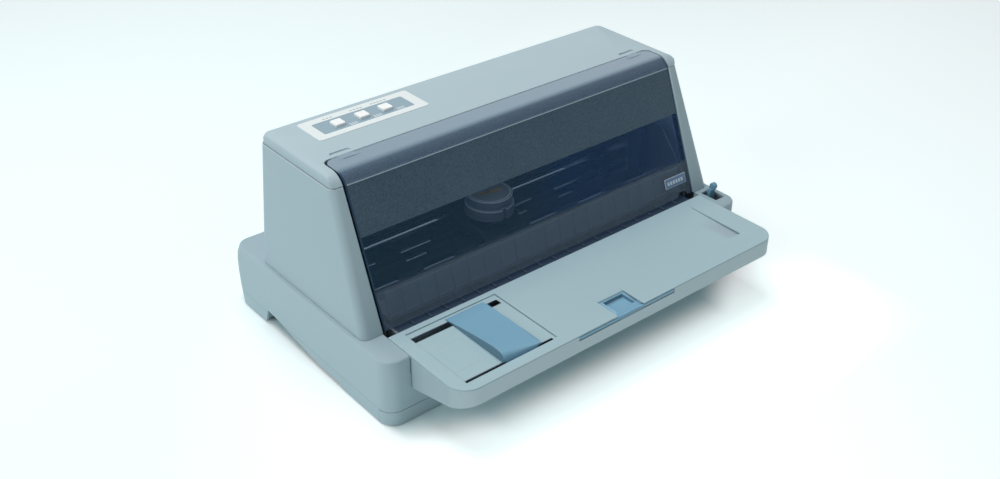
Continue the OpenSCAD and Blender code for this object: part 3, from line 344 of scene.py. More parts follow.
def moulded(name, colour, rough, grain, depth, mottle, lines=None, painted_light_share=None, painted_shading=None, **constants):
    """Plastic of one colour with fine grain, faint clouds, and edges shinier from wear and painted lighter
    as a highlight. From the place in millimetres lines gives the share of painted shadow in seams and
    hollows, rubbed that of painted light, and tinted paints light and shade into some places' tone."""
    f = Finish(name, **constants)
    fine = f.noise(grain, 3)
    clouds = f.noise(0.012, 2)
    rounded = f.rounding(0.5)
    # The edges are shinier from wear, and their colour is painted lighter as a highlight.
    edge_wear_and_highlight = f.edges(rounded)
    base = rgb(colour)
    pale = shade(base, 1, PALE_LIFT)
    tone = f.mix(fine * 0.6 + clouds * 0.4, shade(base, 1 - 2 * mottle), shade(base, 1 + 2 * mottle))
    # Painted light and shade: some places get a lighter or darker tone.
    if painted_shading:
        tone = painted_shading(f, tone)
    if lines:
        tone = f.mix(lines(*f.xyz()), tone, shade(base, LINE_SHADE))
    # Painted light: these places are lifted towards pale.
    if painted_light_share:
        tone = f.mix(painted_light_share(*f.xyz()), tone, pale)
    f.set({
        "Base Color": f.mix(edge_wear_and_highlight * 0.5, tone, pale),
        "Roughness": rough + (fine - 0.5) * 0.12 - edge_wear_and_highlight * 0.12,
        "Normal": f.bump(fine, depth, rounded),
    })
    return f


# %% Masks for the case: from the place in millimetres to a share from 0 to 1
CAP_JOINT, BASE_TOP, TRAY_PARTING, PAN_JOINT = 210.0, 75.0, 74.5, 16.6


def patch(x, y, left, right, front, rear):
    """1 on a rectangle seen from above."""
    return x.within(left, right, 0.1) * y.within(front, rear, 0.1)


def upper_seams(x, y, z):
    """Shadow in the joints over and under the upper housing."""
    return ((z > CAP_JOINT - 0.85) * 0.6 + (z < BASE_TOP + 0.5) * 0.7).clip()


def upper_edge_painted_highlight(x, y, z):
    """A painted highlight on the upper housing's edge, just under its top joint."""
    return z.within(CAP_JOINT - 1.8, CAP_JOINT - 1.0, 0.2)


def cap_seam(x, y, z):
    """Shadow in the joint under the cap."""
    return (z < CAP_JOINT - 0.05) * 0.6


def base_seam(x, y, z):
    """Shadow in the joint between the base and its bottom pan, and beside the tray's rear corners."""
    beside = x.abs().within(205.3, 206.1, 0.15) * y.within(-103.5, -61, 0.1) * (z > 70)
    return z.within(PAN_JOINT - 0.2, PAN_JOINT + 0.2, 0.1) * 0.6 + beside * 0.6


def base_top_painted_shade(f, tone):
    """Painted shade on the base's flat top, which makes it a little darker than its walls."""
    _, _, z = f.xyz()
    return f.mix(z.ramp(BASE_TOP - 1.4, 1.2), tone, rgb("9DB4BE"))


def tray_sides_painted_light(f, tone):
    """Painted light and shade on the tray's sides: greyer than its top, and palest in front."""
    _, y, z = f.xyz()
    side = f.mix(y.ramp(-159, -21), rgb("A6B9C1"), rgb("C6D6DD"))
    return f.mix(z.ramp(TRAY_PARTING - 0.1, -0.8), tone, side)


def guide_end_painted_light(x, y, z):
    """Painted light on the left end of the lower guide, which lies in shade beside the cover's corner."""
    return (x < -198.5) * 1.0


def guide_wall(x, y, z):
    """Shade on the edge guide's left wall."""
    return (x < -153.8) * 0.75


def pull_shade(x, y, z):
    """Shade down in the finger pocket, in the gap round the pull and under the strip's edge."""
    pocket = patch(x, y, -18.2, 8.0, -171.5, -153.2) * z.within(70.8, 74.0, 0.3) * 0.6
    gap = (((y > -151.9) + (x > 10.8)) * (z > 72.8) * (y > -170)).clip() * (x < 12)
    below = (z < 70.7) * (y < -176) + (x > 54.1) * (y < -176)
    return (pocket + gap * 0.85 + below.clip() * 0.85).clip()


def tray_seams(x, y, z):
    """The parting line under the tray's edge, shadow at the foot of its two steps and of its rear
    joint, and faint marks of ejector plates in the bed."""
    edge = ((y < -175) + (x.abs() > 204)).clip()
    parting = z.within(TRAY_PARTING - 0.15, TRAY_PARTING + 0.15, 0.12) * edge
    bed = (z < 74.9) * (z > 74.0)
    frame_line = patch(x, y, -189.6, -160, -150, -111) - patch(x, y, -189.2, -160.4, -149.6, -111.4)
    strip = y.within(-149.3, -148.9, 0.1) * (x < -168)
    joint = (y > -105.5) * (y < -103) * (z < 72.9)
    right_step = patch(x, y, 184.2, 185.6, -153.2, -78) * (z < 75.3)
    left_step = patch(x, y, -91.2, -90, -165.5, -76) * (z < 75.3)
    marks = bed * (frame_line + strip).clip() * 0.18
    return (joint * 0.8 + right_step * 0.6 + left_step * 0.7 + parting * 0.55 + marks).clip()


# %% Plastics by name
def head_casting_paint(name):
    """Bare casting on the ring, the neck and the lid's side, black paint on the lid's top and below
    the ring, and a painted highlight round the upper rims of lid and ring."""
    f = Finish(name, Specular_IOR_Level=0.15)
    _, _, z = f.xyz()
    ring_foot, ring_rim, lid_rim = 103.6, (115.0, 115.7), (125.3, 126.3)
    black = ((z > lid_rim[1]) + (z < ring_foot)).clip()
    # A painted highlight: near white bands on the upper rims of lid and ring.
    line = (z.within(*lid_rim, 0.3) + z.within(*ring_rim, 0.3)).clip()
    fine = f.noise(0.8, 3)
    bare = f.mix(fine, rgb("92929C"), rgb("A2A2AA"))
    painted = f.mix(fine, rgb("0C0E10"), rgb("14171A"))
    f.set({
        "Base Color": f.mix(line, f.mix(black, bare, painted), rgb("F4F8FA")),
        "Roughness": 0.3 + (fine - 0.5) * 0.1,
        "Normal": f.bump(fine, 0.02, f.rounding(0.4)),
    })
    return f


CASE_GREY, CASE_GRAIN = "AFC3CB", (0.55, 1.5, 0.03, 0.02)
case_plastic = moulded("case_plastic", CASE_GREY, *CASE_GRAIN)
base_plastic = moulded("base_plastic", CASE_GREY, *CASE_GRAIN, lines=base_seam, painted_shading=base_top_painted_shade)
upper_plastic = moulded("upper_plastic", CASE_GREY, *CASE_GRAIN, lines=upper_seams, painted_light_share=upper_edge_painted_highlight)
cap_plastic = moulded("cap_plastic", CASE_GREY, *CASE_GRAIN, lines=cap_seam)
tray_plastic = moulded("tray_plastic", "ABC6CE", *CASE_GRAIN, lines=tray_seams, painted_shading=tray_sides_painted_light)
blue_plastic = moulded("blue_plastic", "82B2CC", 0.42, 1.2, 0.012, 0.02, lines=guide_wall)
lever_plastic = moulded("lever_plastic", "6C9BB2", 0.4, 1.2, 0.012, 0.02)
pull_plastic = moulded("pull_plastic", "82B2CC", 0.42, 1.2, 0.012, 0.02, lines=pull_shade)
black_plastic = moulded("black_plastic", "2B3038", 0.45, 1.4, 0.02, 0.06)
head_paint = head_casting_paint("head_paint")
button_plastic = moulded("button_plastic", "FBFDFD", 0.4, 1.0, 0.008, 0.01)
knob_plastic = moulded("knob_plastic", "3A648C", 0.4, 1.2, 0.02, 0.04)
cartridge_plastic = moulded("cartridge_plastic", "2E3A4C", 0.4, 1.4, 0.02, 0.06)
comb_plastic = moulded("comb_plastic", "8E98A8", 0.4, 1.0, 0.02, 0.04)
guide_plastic = moulded("guide_plastic", "2F4256", 0.4, 1.0, 0.02, 0.02, painted_light_share=guide_end_painted_light)
gear_nylon = moulded("gear_nylon", "E6E6DC", 0.4, 0.9, 0.01, 0.02, Subsurface_Weight=0.1)
print("plastics", len(bpy.data.materials))

# %% [markdown]
# ## Metals, rubber and boards
#
# The rod and the shafts are ground, so their fine scratches run round them; the frames are zinc
# plated sheet with a cloudy crystal pattern; the rubbers are ground dull and hold some dust.


# %% Metal
def metal(name, colour, rough, stretch, grain, depth, clouds=0.06):
    """Bare metal: noise drawn out along the lay of its scratches, and cloudy roughness."""
    f = Finish(name, Metallic=1.0)
    lay = f.noise(grain, 3, stretch)
    cloud = f.noise(0.05, 3)
    base = rgb(colour)
    f.set({
        "Base Color": f.mix(cloud, base, shade(base, 1 - 3 * clouds)),
        "Roughness": rough + (lay - 0.5) * 0.8 * rough + (cloud - 0.5) * 2 * clouds,
        "Normal": f.bump(lay, depth, f.rounding(0.3)),
    })
    return f


def dull(name, colour):
    """Rubber: no gloss, and a soft dust over a fine ground surface."""
    f = Finish(name)
    fine, patches = f.noise(0.9, 3), f.noise(0.04, 3)
    f.set({
        "Base Color": f.mix((patches * fine) * 0.25, rgb(colour), rgb("8C8C88")),
        "Roughness": 0.85 + (fine - 0.5) * 0.1,
        "Normal": f.bump(fine, 0.04, f.rounding(0.3)),
    })
    return f


ground_steel = metal("ground_steel", "C8CACC", 0.08, (8, 1, 1), 0.5, 0.002, 0.01)
zinc_sheet = metal("zinc_sheet", "B7BCC0", 0.38, (1, 1, 1), 0.12, 0.008, 0.09)
brass = metal("brass", "CDA85C", 0.3, (8, 1, 1), 0.5, 0.004)
motor_steel = metal("motor_steel", "9FA3A6", 0.4, (1, 1, 8), 0.4, 0.008, 0.08)
pulley_metal = metal("pulley_metal", "C4C7C9", 0.3, (1, 1, 8), 0.4, 0.006)
rubber = dull("rubber", "1D1D1F")
roller_rubber = dull("roller_rubber", "47474B")


# %% Pinch rollers and sockets
def pinch_rows(name):
    """Rubber sleeves on steel shafts, which lie on both sides of a middle y at one height: what is
    further from the axis than the root of 7 mm2 is rubber."""
    f = Finish(name)
    _, y, z = f.xyz()
    middle, half_pitch, height = 16, 20, 81.1
    row, rise = (y - middle).abs() - half_pitch, z - height
    away = (row * row + rise * rise) > 7.0
    fine = f.noise(0.9, 3)
    f.set({
        "Base Color": f.mix(away, rgb("C8CACC"), rgb("2E2E33")),
        "Metallic": 1 - away,
        "Roughness": 0.1 + away * 0.6 + (fine - 0.5) * 0.08,
        "Normal": f.bump(fine * away, 0.02, f.rounding(0.3)),
    })
    return f


def sockets(name):
    """Black plastic with bright metal where the pins of the mains inlet stand."""
    f = Finish(name)
    x, y, z = f.xyz()
    pins = patch(x, y, 160, 186, 158, 174) * z.within(33, 45.4, 0.1)
    fine = f.noise(1.4, 3)
    f.set({
        "Base Color": f.mix(pins, rgb("202225"), rgb("C9B98C")),
        "Metallic": pins * 1.0,
        "Roughness": 0.5 - pins * 0.2 + (fine - 0.5) * 0.12,
        "Normal": f.bump(fine, 0.02, f.rounding(0.3)),
    })
    return f


pinch_finish = pinch_rows("pinch_finish")
socket_finish = sockets("socket_finish")


# %% Boards, ribbon and cable
BOARD_TOP, PARTS_TOP = 25.6, 61.0


def board(name, colour, trace):
    """Circuit board: lacquer over copper tracks that run along Y and X in steps, with dark moulded
    parts on it from BOARD_TOP up."""
    f = Finish(name, Coat_Weight=0.6, Coat_Roughness=0.15)
    x, y, z = f.xyz()
    parts = (z > BOARD_TOP + 0.15) * (z < PARTS_TOP)
    blocks = f.noise(0.06, 0)
    across = (x.every(2.2) < 0.45) * (blocks > 0.52)
    along = (y.every(2.2) < 0.45) * (blocks < 0.46)
    track = (across + along).clip() * (1 - parts)
    fine = f.noise(1.2, 2)
    moulding = f.mix(fine, rgb("16191C"), rgb("26292E"))
    f.set({
        "Base Color": f.mix(parts, f.mix(track, rgb(colour), rgb(trace)), moulding),
        "Roughness": 0.45 + (fine - 0.5) * 0.15,
        "Normal": f.bump(track + fine * 0.2, 0.035, f.rounding(0.2)),
    })
    return f


green_board = board("green_board", "1E5B3A", "2F7D50")
brown_board = board("brown_board", "8A6E42", "A98C5B")


def woven(name):
    """Inked nylon: two sets of threads, over and under in turn."""
    f = Finish(name)
    x, y, _ = f.xyz()
    weave = (x.every(0.5) + y.every(0.5)) * 2
    ink = f.noise(0.3, 3)
    f.set({
        "Base Color": f.mix(ink, rgb("17171B"), rgb("2C2C33")),
        "Roughness": 0.55 + (ink - 0.5) * 0.2,
        "Normal": f.bump(weave, 0.05),
    })
    return f


def striped(name):
    """Flat cable: parallel conductors under clear film, each one a soft ridge."""
    f = Finish(name, Coat_Weight=0.4, Coat_Roughness=0.2)
    _, _, z = f.xyz()
    ridge = z.every(1.0) * 2
    f.set({
        "Base Color": f.mix(ridge, rgb("8F9395"), rgb("D5D8D8")),
        "Roughness": 0.35 + f.noise(0.5, 2) * 0.15,
        "Normal": f.bump(ridge, 0.15),
    })
    return f


ribbon_cloth = woven("ribbon_cloth")
cable_film = striped("cable_film")

# %% [markdown]
# ## Printed films
#
# The panel round the buttons is a printed film: a pale rim with small grey marks over each button,
# and a blue grey field with short white dashes beside each button. They are marks only, with no
# words. The marks are worked out from the place on the cap, in millimetres.

# %% Panel film
BUTTON_X = (-157.6, -129.2, -101.5)
BUTTON_Y = 83.3
BADGE_X, BADGE_Z = (172.0, 204.0), (90.0, 100.5)


def dashes(x, y, left, low, count, width, gap, height):
    """A row of count dashes that starts at (left, low)."""
    step = width + gap
    row = y.within(low, low + height, 0.08)
    inside = x.within(left, left + count * step - gap, 0.05)
    off_middle = (x - (left + width / 2)).every(step)
    return row * inside * off_middle.within(-1, width / 2, 0.08)


def film(name, ground, ink, rows, upright=False):
    """Film of one colour with rows of dashes printed on it. On an upright film rows go by height."""
    f = Finish(name, Coat_Weight=0.3, Coat_Roughness=0.25)
    x, y, z = f.xyz()
    y = z if upright else y
    fine = f.noise(1.5, 2)
    printed = dashes(x, y, *rows[0])
    for row in rows[1:]:
        printed = printed.math("MAXIMUM", printed, dashes(x, y, *row))
    field = f.mix(fine * 0.08, rgb(ground), rgb("FFFFFF"))
    f.set({
        "Base Color": f.mix(printed * 0.85, field, rgb(ink)),
        "Roughness": 0.38 + (fine - 0.5) * 0.1,
        "Normal": f.bump(fine, 0.01),
    })
    return f


rim_rows = [(x - 7 + 3 * (i % 2), 99.6, 3 + i, 3.0, 1.0, 1.3) for i, x in enumerate(BUTTON_X)]
field_rows = [(x + 8.5, y, 3, 2.4, 0.8, 1.0) for x in BUTTON_X for y in (75.6, 72.9)]
label_film = film("label_film", "E6EEEE", "7C8C94", rim_rows)
inset_film = film("inset_film", "7E9DAC", "F2F6F6", field_rows)
badge_size = BADGE_X[1] - BADGE_X[0], BADGE_Z[1] - BADGE_Z[0]
badge_rows = [(BADGE_X[0], z, 1, badge_size[0], 1.0, 0.5) for z in (BADGE_Z[0] - 0.05, BADGE_Z[1] - 0.45)]
badge_rows += [(x, BADGE_Z[0], 1, 0.5, 1.0, badge_size[1]) for x in (BADGE_X[0], BADGE_X[1] - 0.5)]
badge_rows += [(BADGE_X[0] + 3.5, BADGE_Z[0] + 3.2, 6, 2.9, 1.3, 3.6)]
badge_film = film("badge_film", "3F6C96", "D3DFE8", badge_rows, upright=True)
gold_rows = [(-43, y, *row, 1.2) for y, *row in ((8.6, 4, 4.5, 1.5), (12.0, 6, 2.5, 1.2), (15.2, 3, 6, 1.5))]
gold_film = film("gold_film", "C9A243", "5C4A1E", gold_rows)
print("films for", len(BUTTON_X), "buttons")

# %% [markdown]
# ## Smoked cover
#
# The cover is clear smoked plastic. Its upper band and its foot are textured in the mould, so they
# look like dark slate, and between them a clear window is left to see the head. One material does
# all three: the height on the cover says how clear and how rough it is.

# %% Smoked plastic
WINDOW_TOP, WINDOW_LOW, RIB_Z = 162.0, 112.0, 209.5
SMOKE_TINT, SMOKE_CLEAR = (0.28, 0.60, 1.0, 1), (0.86, 0.90, 0.96, 1)


def smoked(name):
    """Dark plastic mixed with a Transparent shader of smoked tint. The height sets the share that
    shows what is behind: most in the window, some at the foot, almost none above. Lamps reach through it."""
    f = Finish(name, Coat_Roughness=0.12, Specular_IOR_Level=0.8, Specular_Tint=SMOKE_TINT)
    x, y, z = f.xyz()
    window = z.within(WINDOW_LOW, WINDOW_TOP, 0.3)
    foot = (z < WINDOW_LOW) * 1.0
    roll = z.ramp(RIB_Z + 8.3, 1.5)
    band = (z > RIB_Z) * (1 - roll)
    upper = z.ramp(217, 3)
    # The sides are painted near black: the smoked plastic's dark edge seen end on, and painted shade in the
    # gap beside the housing.
    side = (x.abs() > 208.9) * (1 - roll)
    grain = f.noise(1.1, 2)
    clouds = f.noise(0.02, 2)
    speck = ((grain - 0.5) * 3 + 0.5).clip()
    sand = f.noise(0.45, 3)
    frosted = f.mix(((sand - 0.5) * 1.6 + speck * 0.5 + clouds * 0.5).clip(), rgb("2A3337"), rgb("4C565C"))
    frosted = f.mix(foot, frosted, f.mix(speck, rgb("465057"), rgb("667078")))
    frosted = f.mix(band, frosted, f.mix(speck, rgb("353F4A"), rgb("566270")))
    # The roll and the top are painted lighter than the smoked plastic, and lighter still towards the top:
    # painted light and sheen from above.
    roll_tone_with_painted_sheen = f.mix(upper, rgb("64757F"), rgb("7F94A2"))
    glass = f.mix(x.ramp(-30, 70), rgb("1C333F"), rgb("0E3564"))
    body = f.mix(roll, f.mix(window, frosted, glass), roll_tone_with_painted_sheen)
    # A painted highlight along the rib at the height of the cap's seam.
    body = f.mix(z.within(209.1, 209.9, 0.2), body, rgb("A9B4BC"))
    tabs = y.within(19.2, 19.6, 0.15) * x.abs().within(174, 193, 0.1) * (z > 219)
    f.set({
        "Base Color": f.mix((tabs * 0.8 + side).clip(), body, rgb("101822")),
        "Roughness": 0.45 - window * 0.40 - roll * 0.2 + (grain - 0.5) * 0.06,
        "Coat Weight": roll * 0.5,
        "Normal": f.bump(speck * (1 - window) * (1 - roll), 0.03, f.rounding(0.4)),
    })
    lamp_ray = f.add("LightPath", out="Is Shadow Ray")
    solid = (0.985 - (window * 0.70 + foot * 0.52) * (1 - side)).clip()
    clear = f.tree.nodes.new("ShaderNodeBsdfTransparent")
    clear.inputs["Color"].default_value = SMOKE_CLEAR
    mixer = f.tree.nodes.new("ShaderNodeMixShader")
    put(f.tree, mixer.inputs[0], solid * (1 - lamp_ray * 0.85))
    f.tree.links.new(clear.outputs[0], mixer.inputs[1])
    f.tree.links.new(f.shader.outputs[0], mixer.inputs[2])
    f.tree.links.new(mixer.outputs[0], f.tree.nodes["Material Output"].inputs["Surface"])
    return f


cover_plastic = smoked("cover_plastic")

# %% Finishes of the CAD nodes
SLOT_FINISH = {
    "case": case_plastic, "rubber": rubber, "steel": ground_steel, "cover": cover_plastic,
    "badge": badge_film, "label": label_film, "inset": inset_film, "button": button_plastic,
    "board": green_board, "blue": blue_plastic, "black_plastic": black_plastic, "zinc": zinc_sheet,
    "brass": brass, "head_black": head_paint, "head_label": gold_film, "ribbon": ribbon_cloth,
    "knob_blue": knob_plastic, "roller_grey": roller_rubber, "gear_white": gear_nylon,
    "motor": motor_steel, "pulley": motor_steel, "cable": cable_film,
}
slot_of = {}
for node_name, node in nodes.items():
    slot_of[node_name] = node.data.materials[0].name
    node.data.materials[0] = SLOT_FINISH[slot_of[node_name]].material
nodes["power_board"].data.materials[0] = brown_board.material
print("slots in use:", sorted(set(slot_of.values())))

# %% [markdown]
# ## Shapes
#
# Every new piece is a surface worked out as arrays of points: an outline in a plane, carried along
# a straight line or turned about an axis, or a sheet that is a function of two parameters. A shape
# here is just a pair, the points in millimetres and the faces, so shapes can be joined before they
# become a mesh.


# %% Outlines
def rounded(corners, radii, steps=5):
    """Closed outline with an arc at each corner. The arc's centre lies on the corner's bisector at
    radius over the sine of half the corner's angle, and it touches both edges."""
    p = np.asarray(corners, float)
    r = np.broadcast_to(np.asarray(radii, float), len(p))[:, None]
    a, b = np.roll(p, 1, 0) - p, np.roll(p, -1, 0) - p
    a /= np.linalg.norm(a, axis=1)[:, None]
    b /= np.linalg.norm(b, axis=1)[:, None]
    half = np.arccos(np.clip((a * b).sum(1), -1, 1))[:, None] / 2
    middle = a + b
    middle /= np.linalg.norm(middle, axis=1)[:, None]
    centre = p + middle * r / np.sin(half)
    first, last = p + a * r / np.tan(half) - centre, p + b * r / np.tan(half) - centre
    start = np.arctan2(first[:, 1], first[:, 0])[:, None]
    turn = (np.arctan2(last[:, 1], last[:, 0])[:, None] - start + np.pi) % (2 * np.pi) - np.pi
    angle = start + turn * np.linspace(0, 1, steps + 1)
    arcs = centre[:, None] + r[:, None] * np.stack([np.cos(angle), np.sin(angle)], -1)
    return arcs.reshape(-1, 2)


def box_outline(u0, u1, v0, v1, radii=0.4, steps=5):
    """A rectangle with rounded corners."""
    return rounded([(u0, v0), (u1, v0), (u1, v1), (u0, v1)], radii, steps)


def circle(u, v, radius, count):
    """Evenly spaced points on a whole circle."""
    angle = np.linspace(0, 2 * np.pi, count, endpoint=False)
    return np.column_stack([u + radius * np.cos(angle), v + radius * np.sin(angle)])


def arc(u, v, radius, start, end, count):
    """Points on a circle from one angle to another, in degrees."""
    angle = np.radians(np.linspace(start, end, count))
    return np.column_stack([u + radius * np.cos(angle), v + radius * np.sin(angle)])


def drawn_in(outline, depth):
    """The outline moved inwards: each point goes along the sum of its two edges' normals, by depth
    over one plus the cosine of the turn there."""
    ahead = np.roll(outline, -1, 0) - outline
    ahead /= np.maximum(np.linalg.norm(ahead, axis=1), 1e-9)[:, None]
    normal = np.column_stack([-ahead[:, 1], ahead[:, 0]])
    back = np.roll(normal, 1, 0)
    lean = 1 + (normal * back).sum(1)
    return outline + depth * (normal + back) / np.maximum(lean, 0.4)[:, None]


def eased_step(value, low, high):
    """0 below low, 1 above high, and three t squared less two t cubed between them."""
    t = np.clip((np.asarray(value, float) - low) / (high - low), 0, 1)
    return t * t * (3 - 2 * t)


def plateau(value, low, high, blur):
    """1 from low to high, easing to 0 over blur outside them."""
    return eased_step(value, low - blur, low) * (1 - eased_step(value, high, high + blur))


# %% Surfaces
AXIS_ORDER = {"z": (0, 1, 2), "x": (2, 0, 1), "y": (1, 2, 0)}


def rings(loops, closed=False):
    """Joins loops of equally many points, given as (loops, points, 3), by rows of quads. Its ends
    get a cap, unless the last loop is joined to the first."""
    count, n = loops.shape[:2]
    i, j = np.meshgrid(np.arange(count if closed else count - 1), np.arange(n), indexing="ij")
    up, on = (i + 1) % count, (j + 1) % n
    quads = np.stack([i * n + j, i * n + on, up * n + on, up * n + j], -1).reshape(-1, 4).tolist()
    if not closed:
        quads += [list(range(n))[::-1], list(range((count - 1) * n, count * n))]
    return loops.reshape(-1, 3), quads


def laid(outlines, heights, axis="z"):
    """Outlines in a plane, each at its own height along an axis, as loops in space. A height is one
    number for an outline, or one for each of its points."""
    heights = [np.broadcast_to(np.asarray(h, float), len(outline)) for outline, h in zip(outlines, heights)]
    loops = np.concatenate([np.stack(list(outlines)), np.stack(heights)[..., None]], -1)
    return loops[..., AXIS_ORDER[axis]]


def slab(outline, low, high, edge, foot=None, axis="z"):
    """An outline drawn from low to high, with quarter round edges: at angle t of the round the
    outline is drawn in by edge times one minus the cosine, at edge times one minus the sine."""
    foot = edge if foot is None else foot
    t = np.linspace(0, np.pi / 2, 4)
    depth = np.concatenate([foot * (1 - np.cos(t[::-1])), edge * (1 - np.cos(t))])
    height = np.concatenate([low + foot * (1 - np.sin(t[::-1])), high - edge * (1 - np.sin(t))])
    return rings(laid([drawn_in(outline, d) for d in depth], height, axis))


def turned(profile, centre, axis="z", count=64):
    """A profile of (radius, distance along the axis) turned about an axis through centre."""
    profile = np.asarray(profile, float)
    round_one = circle(0, 0, 1.0, count)
    return rings(laid([round_one * r + centre for r in profile[:, 0]], profile[:, 1], axis))


def rim(radius, low, high, edge):
    """Profile of a cylinder's side with both rims rounded by edge."""
    t = np.linspace(0, np.pi / 2, 4)
    up = np.column_stack([radius - edge * (1 - np.cos(t)), high - edge * (1 - np.sin(t))])
    down = np.column_stack([radius - edge * (1 - np.cos(t[::-1])), low + edge * (1 - np.sin(t[::-1]))])
    return np.concatenate([down, up])


def roller(low, high, radius, centre, axis="x", edge=0.5, count=64, bore=0.0):
    """A cylinder with rounded rims, with a hole through it when bore is given."""
    profile = rim(radius, low, high, edge)
    if not bore:
        return turned(profile, centre, axis, count)
    profile = np.concatenate([[(bore, low)], profile, [(bore, high)]])
    outlines = [circle(0, 0, r, count) + centre for r in profile[:, 0]]
    return rings(laid(outlines, profile[:, 1], axis), closed=True)


def shelled(outer, inner, bulge, steps=3):
    """Two sheets of points, given as (rows, columns, 3), joined round their border by a half round:
    at angle t the rim lies between the sheets by the cosine of t, and beyond them, along the outer
    sheet, by bulge times the sine of t."""
    rows, columns = outer.shape[:2]
    across, along = np.arange(columns - 1), np.arange(rows - 1)
    i = np.concatenate([0 * across, along, 0 * across + rows - 1, along[::-1] + 1])
    j = np.concatenate([across, 0 * along + columns - 1, across[::-1] + 1, 0 * along])
    top, under = outer[i, j], inner[i, j]
    away = top - outer[np.clip(i, 1, rows - 2), np.clip(j, 1, columns - 2)]
    away /= np.maximum(np.linalg.norm(away, axis=1), 1e-9)[:, None]
    t = np.linspace(0, np.pi, steps + 2)[1:-1, None, None]
    rims = (top + under) / 2 + np.cos(t) * (top - under) / 2 + np.sin(t) * bulge * away
    grid = np.arange(rows * columns).reshape(rows, columns)
    quads = np.stack([grid[:-1, :-1], grid[1:, :-1], grid[1:, 1:], grid[:-1, 1:]], -1).reshape(-1, 4)
    border = i * columns + j
    rim_rows = 2 * grid.size + np.arange(steps * len(border)).reshape(steps, -1)
    loops = np.concatenate([border[None], rim_rows, border[None] + grid.size])
    on = np.roll(loops, -1, 1)
    sides = np.stack([loops[:-1], on[:-1], on[1:], loops[1:]], -1).reshape(-1, 4)
    points = np.concatenate([outer.reshape(-1, 3), inner.reshape(-1, 3), rims.reshape(-1, 3)])
    return points, np.concatenate([quads, quads[:, ::-1] + grid.size, sides]).tolist()


def joined(*shapes):
    """Several shapes as one."""
    starts = np.cumsum([0] + [len(points) for points, _ in shapes])
    faces = [[int(start) + i for i in face] for start, (_, fs) in zip(starts, shapes) for face in fs]
    return np.concatenate([points for points, _ in shapes]), faces


def repeated(shape, offsets):
    """A shape at several places."""
    return joined(*((shape[0] + np.asarray(offset, float), shape[1]) for offset in offsets))


# %% [markdown]
# ## From shape to piece
#
# A piece is a mesh that rides on one body of the frame and takes over from one CAD node. Points
# that coincide are merged first, and faces are turned outwards while the shell is still simple.

# %% Pieces
MERGE_M, FLAT_TURN = 2e-6, 0.008
EASE_FROM, EASE_SHARP, EASE_ROOM = 30, 38, 2.2


def dress(name, mesh, finish, body, replaced, sharp):
    """Puts a mesh into the scene as a piece of a body, in place of CAD nodes."""
    mesh.shade_smooth()
    mesh.set_sharp_from_angle(angle=math.radians(sharp))
    mesh.materials.clear()
    mesh.materials.append(finish.material)
    piece = bpy.data.objects.new(name, mesh)
    bpy.context.scene.collection.objects.link(piece)
    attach(piece, body)
    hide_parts(*replaced)
    return piece


def piece(name, shape, finish, body, *replaced, sharp=32):
    """A piece from a shape in millimetres."""
    points, faces = shape
    mesh = bpy.data.meshes.new(name)
    mesh.from_pydata((points / 1000).tolist(), [], faces)
    work = bmesh.new()
    work.from_mesh(mesh)
    bmesh.ops.remove_doubles(work, verts=work.verts, dist=MERGE_M)
    bmesh.ops.recalc_face_normals(work, faces=work.faces)
    work.to_mesh(mesh)
    work.free()
    return dress(name, mesh, finish, body, replaced, sharp)


def room_beside(edge):
    """How far the round of an edge may reach into its faces: the least distance from the edge to a
    corner of those faces that lies beside it, or the faces' area over the edge's length."""
    a, b = (np.array(v.co) for v in edge.verts)
    along = b - a
    room = min(face.calc_area() for face in edge.link_faces) / max(edge.calc_length(), 1e-5)
    for face in edge.link_faces:
        corners = np.array([v.co for v in face.verts if v not in edge.verts]) - a
        t = corners @ along / (along @ along)
        beside = (t > 0.01) & (t < 0.99)
        if beside.any():
            off = corners[beside] - t[beside, None] * along
            room = min(room, float(np.linalg.norm(off, axis=1).min()))
    return room


def looks_out(face, middle):
    """True if the face is turned away from the middle of the part, as its outside is."""
    return face.normal.dot(face.calc_center_median() - middle) > 0


def eased(name, node, finish=None, width=0.5, steps=2, body="case", hollow=False):
    """A CAD node's own shape with its sharp edges rounded. A copy of its mesh is merged, flat areas
    become single faces, and each edge that turns by more than 30 degrees and has room beside it gets
    a Bevel of that width. On a hollow part only the edges of its outside do."""
    least_room = EASE_ROOM * width / 1000
    mesh = nodes[node].data.copy()
    if "custom_normal" in mesh.attributes:
        mesh.attributes.remove(mesh.attributes["custom_normal"])
    work = bmesh.new()
    work.from_mesh(mesh)
    bmesh.ops.remove_doubles(work, verts=work.verts, dist=MERGE_M)
    bmesh.ops.dissolve_limit(work, angle_limit=FLAT_TURN, verts=work.verts, edges=work.edges)
    weight = work.edges.layers.float.new("bevel_weight_edge")
    corners = np.array([v.co for v in work.verts])
    middle = Vector((corners.min(0) + corners.max(0)) / 2)
    for edge in work.edges:
        if len(edge.link_faces) == 2 and edge.calc_face_angle(0) > math.radians(EASE_FROM):
            outside = not hollow or all(looks_out(face, middle) for face in edge.link_faces)
            edge[weight] = 1.0 if outside and room_beside(edge) > least_room else 0.0
    work.to_mesh(mesh)
    work.free()
    copy = dress(name, mesh, finish or SLOT_FINISH[slot_of[node]], body, (node,), EASE_SHARP)
    bevel = copy.modifiers.new("eased", "BEVEL")
    bevel.limit_method, bevel.width, bevel.segments = "WEIGHT", width / 1000, steps
    bevel.use_clamp_overlap, bevel.harden_normals = False, False
    return copy


# %% [markdown]
# ## Driving places
#
# The frame gives the corners of each CAD node. The case's front wall, the seam under the cap and
# the slant of the cover are enough to place everything that is made again below.

# %% Places taken from the frame
def span(node):
    """Lowest and highest corner of a CAD node in millimetres."""
    return [np.array(corner) * 1000 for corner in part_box(node)]


def middle_of(node):
    """Middle of a CAD node's box in millimetres."""
    return sum(span(node)) / 2


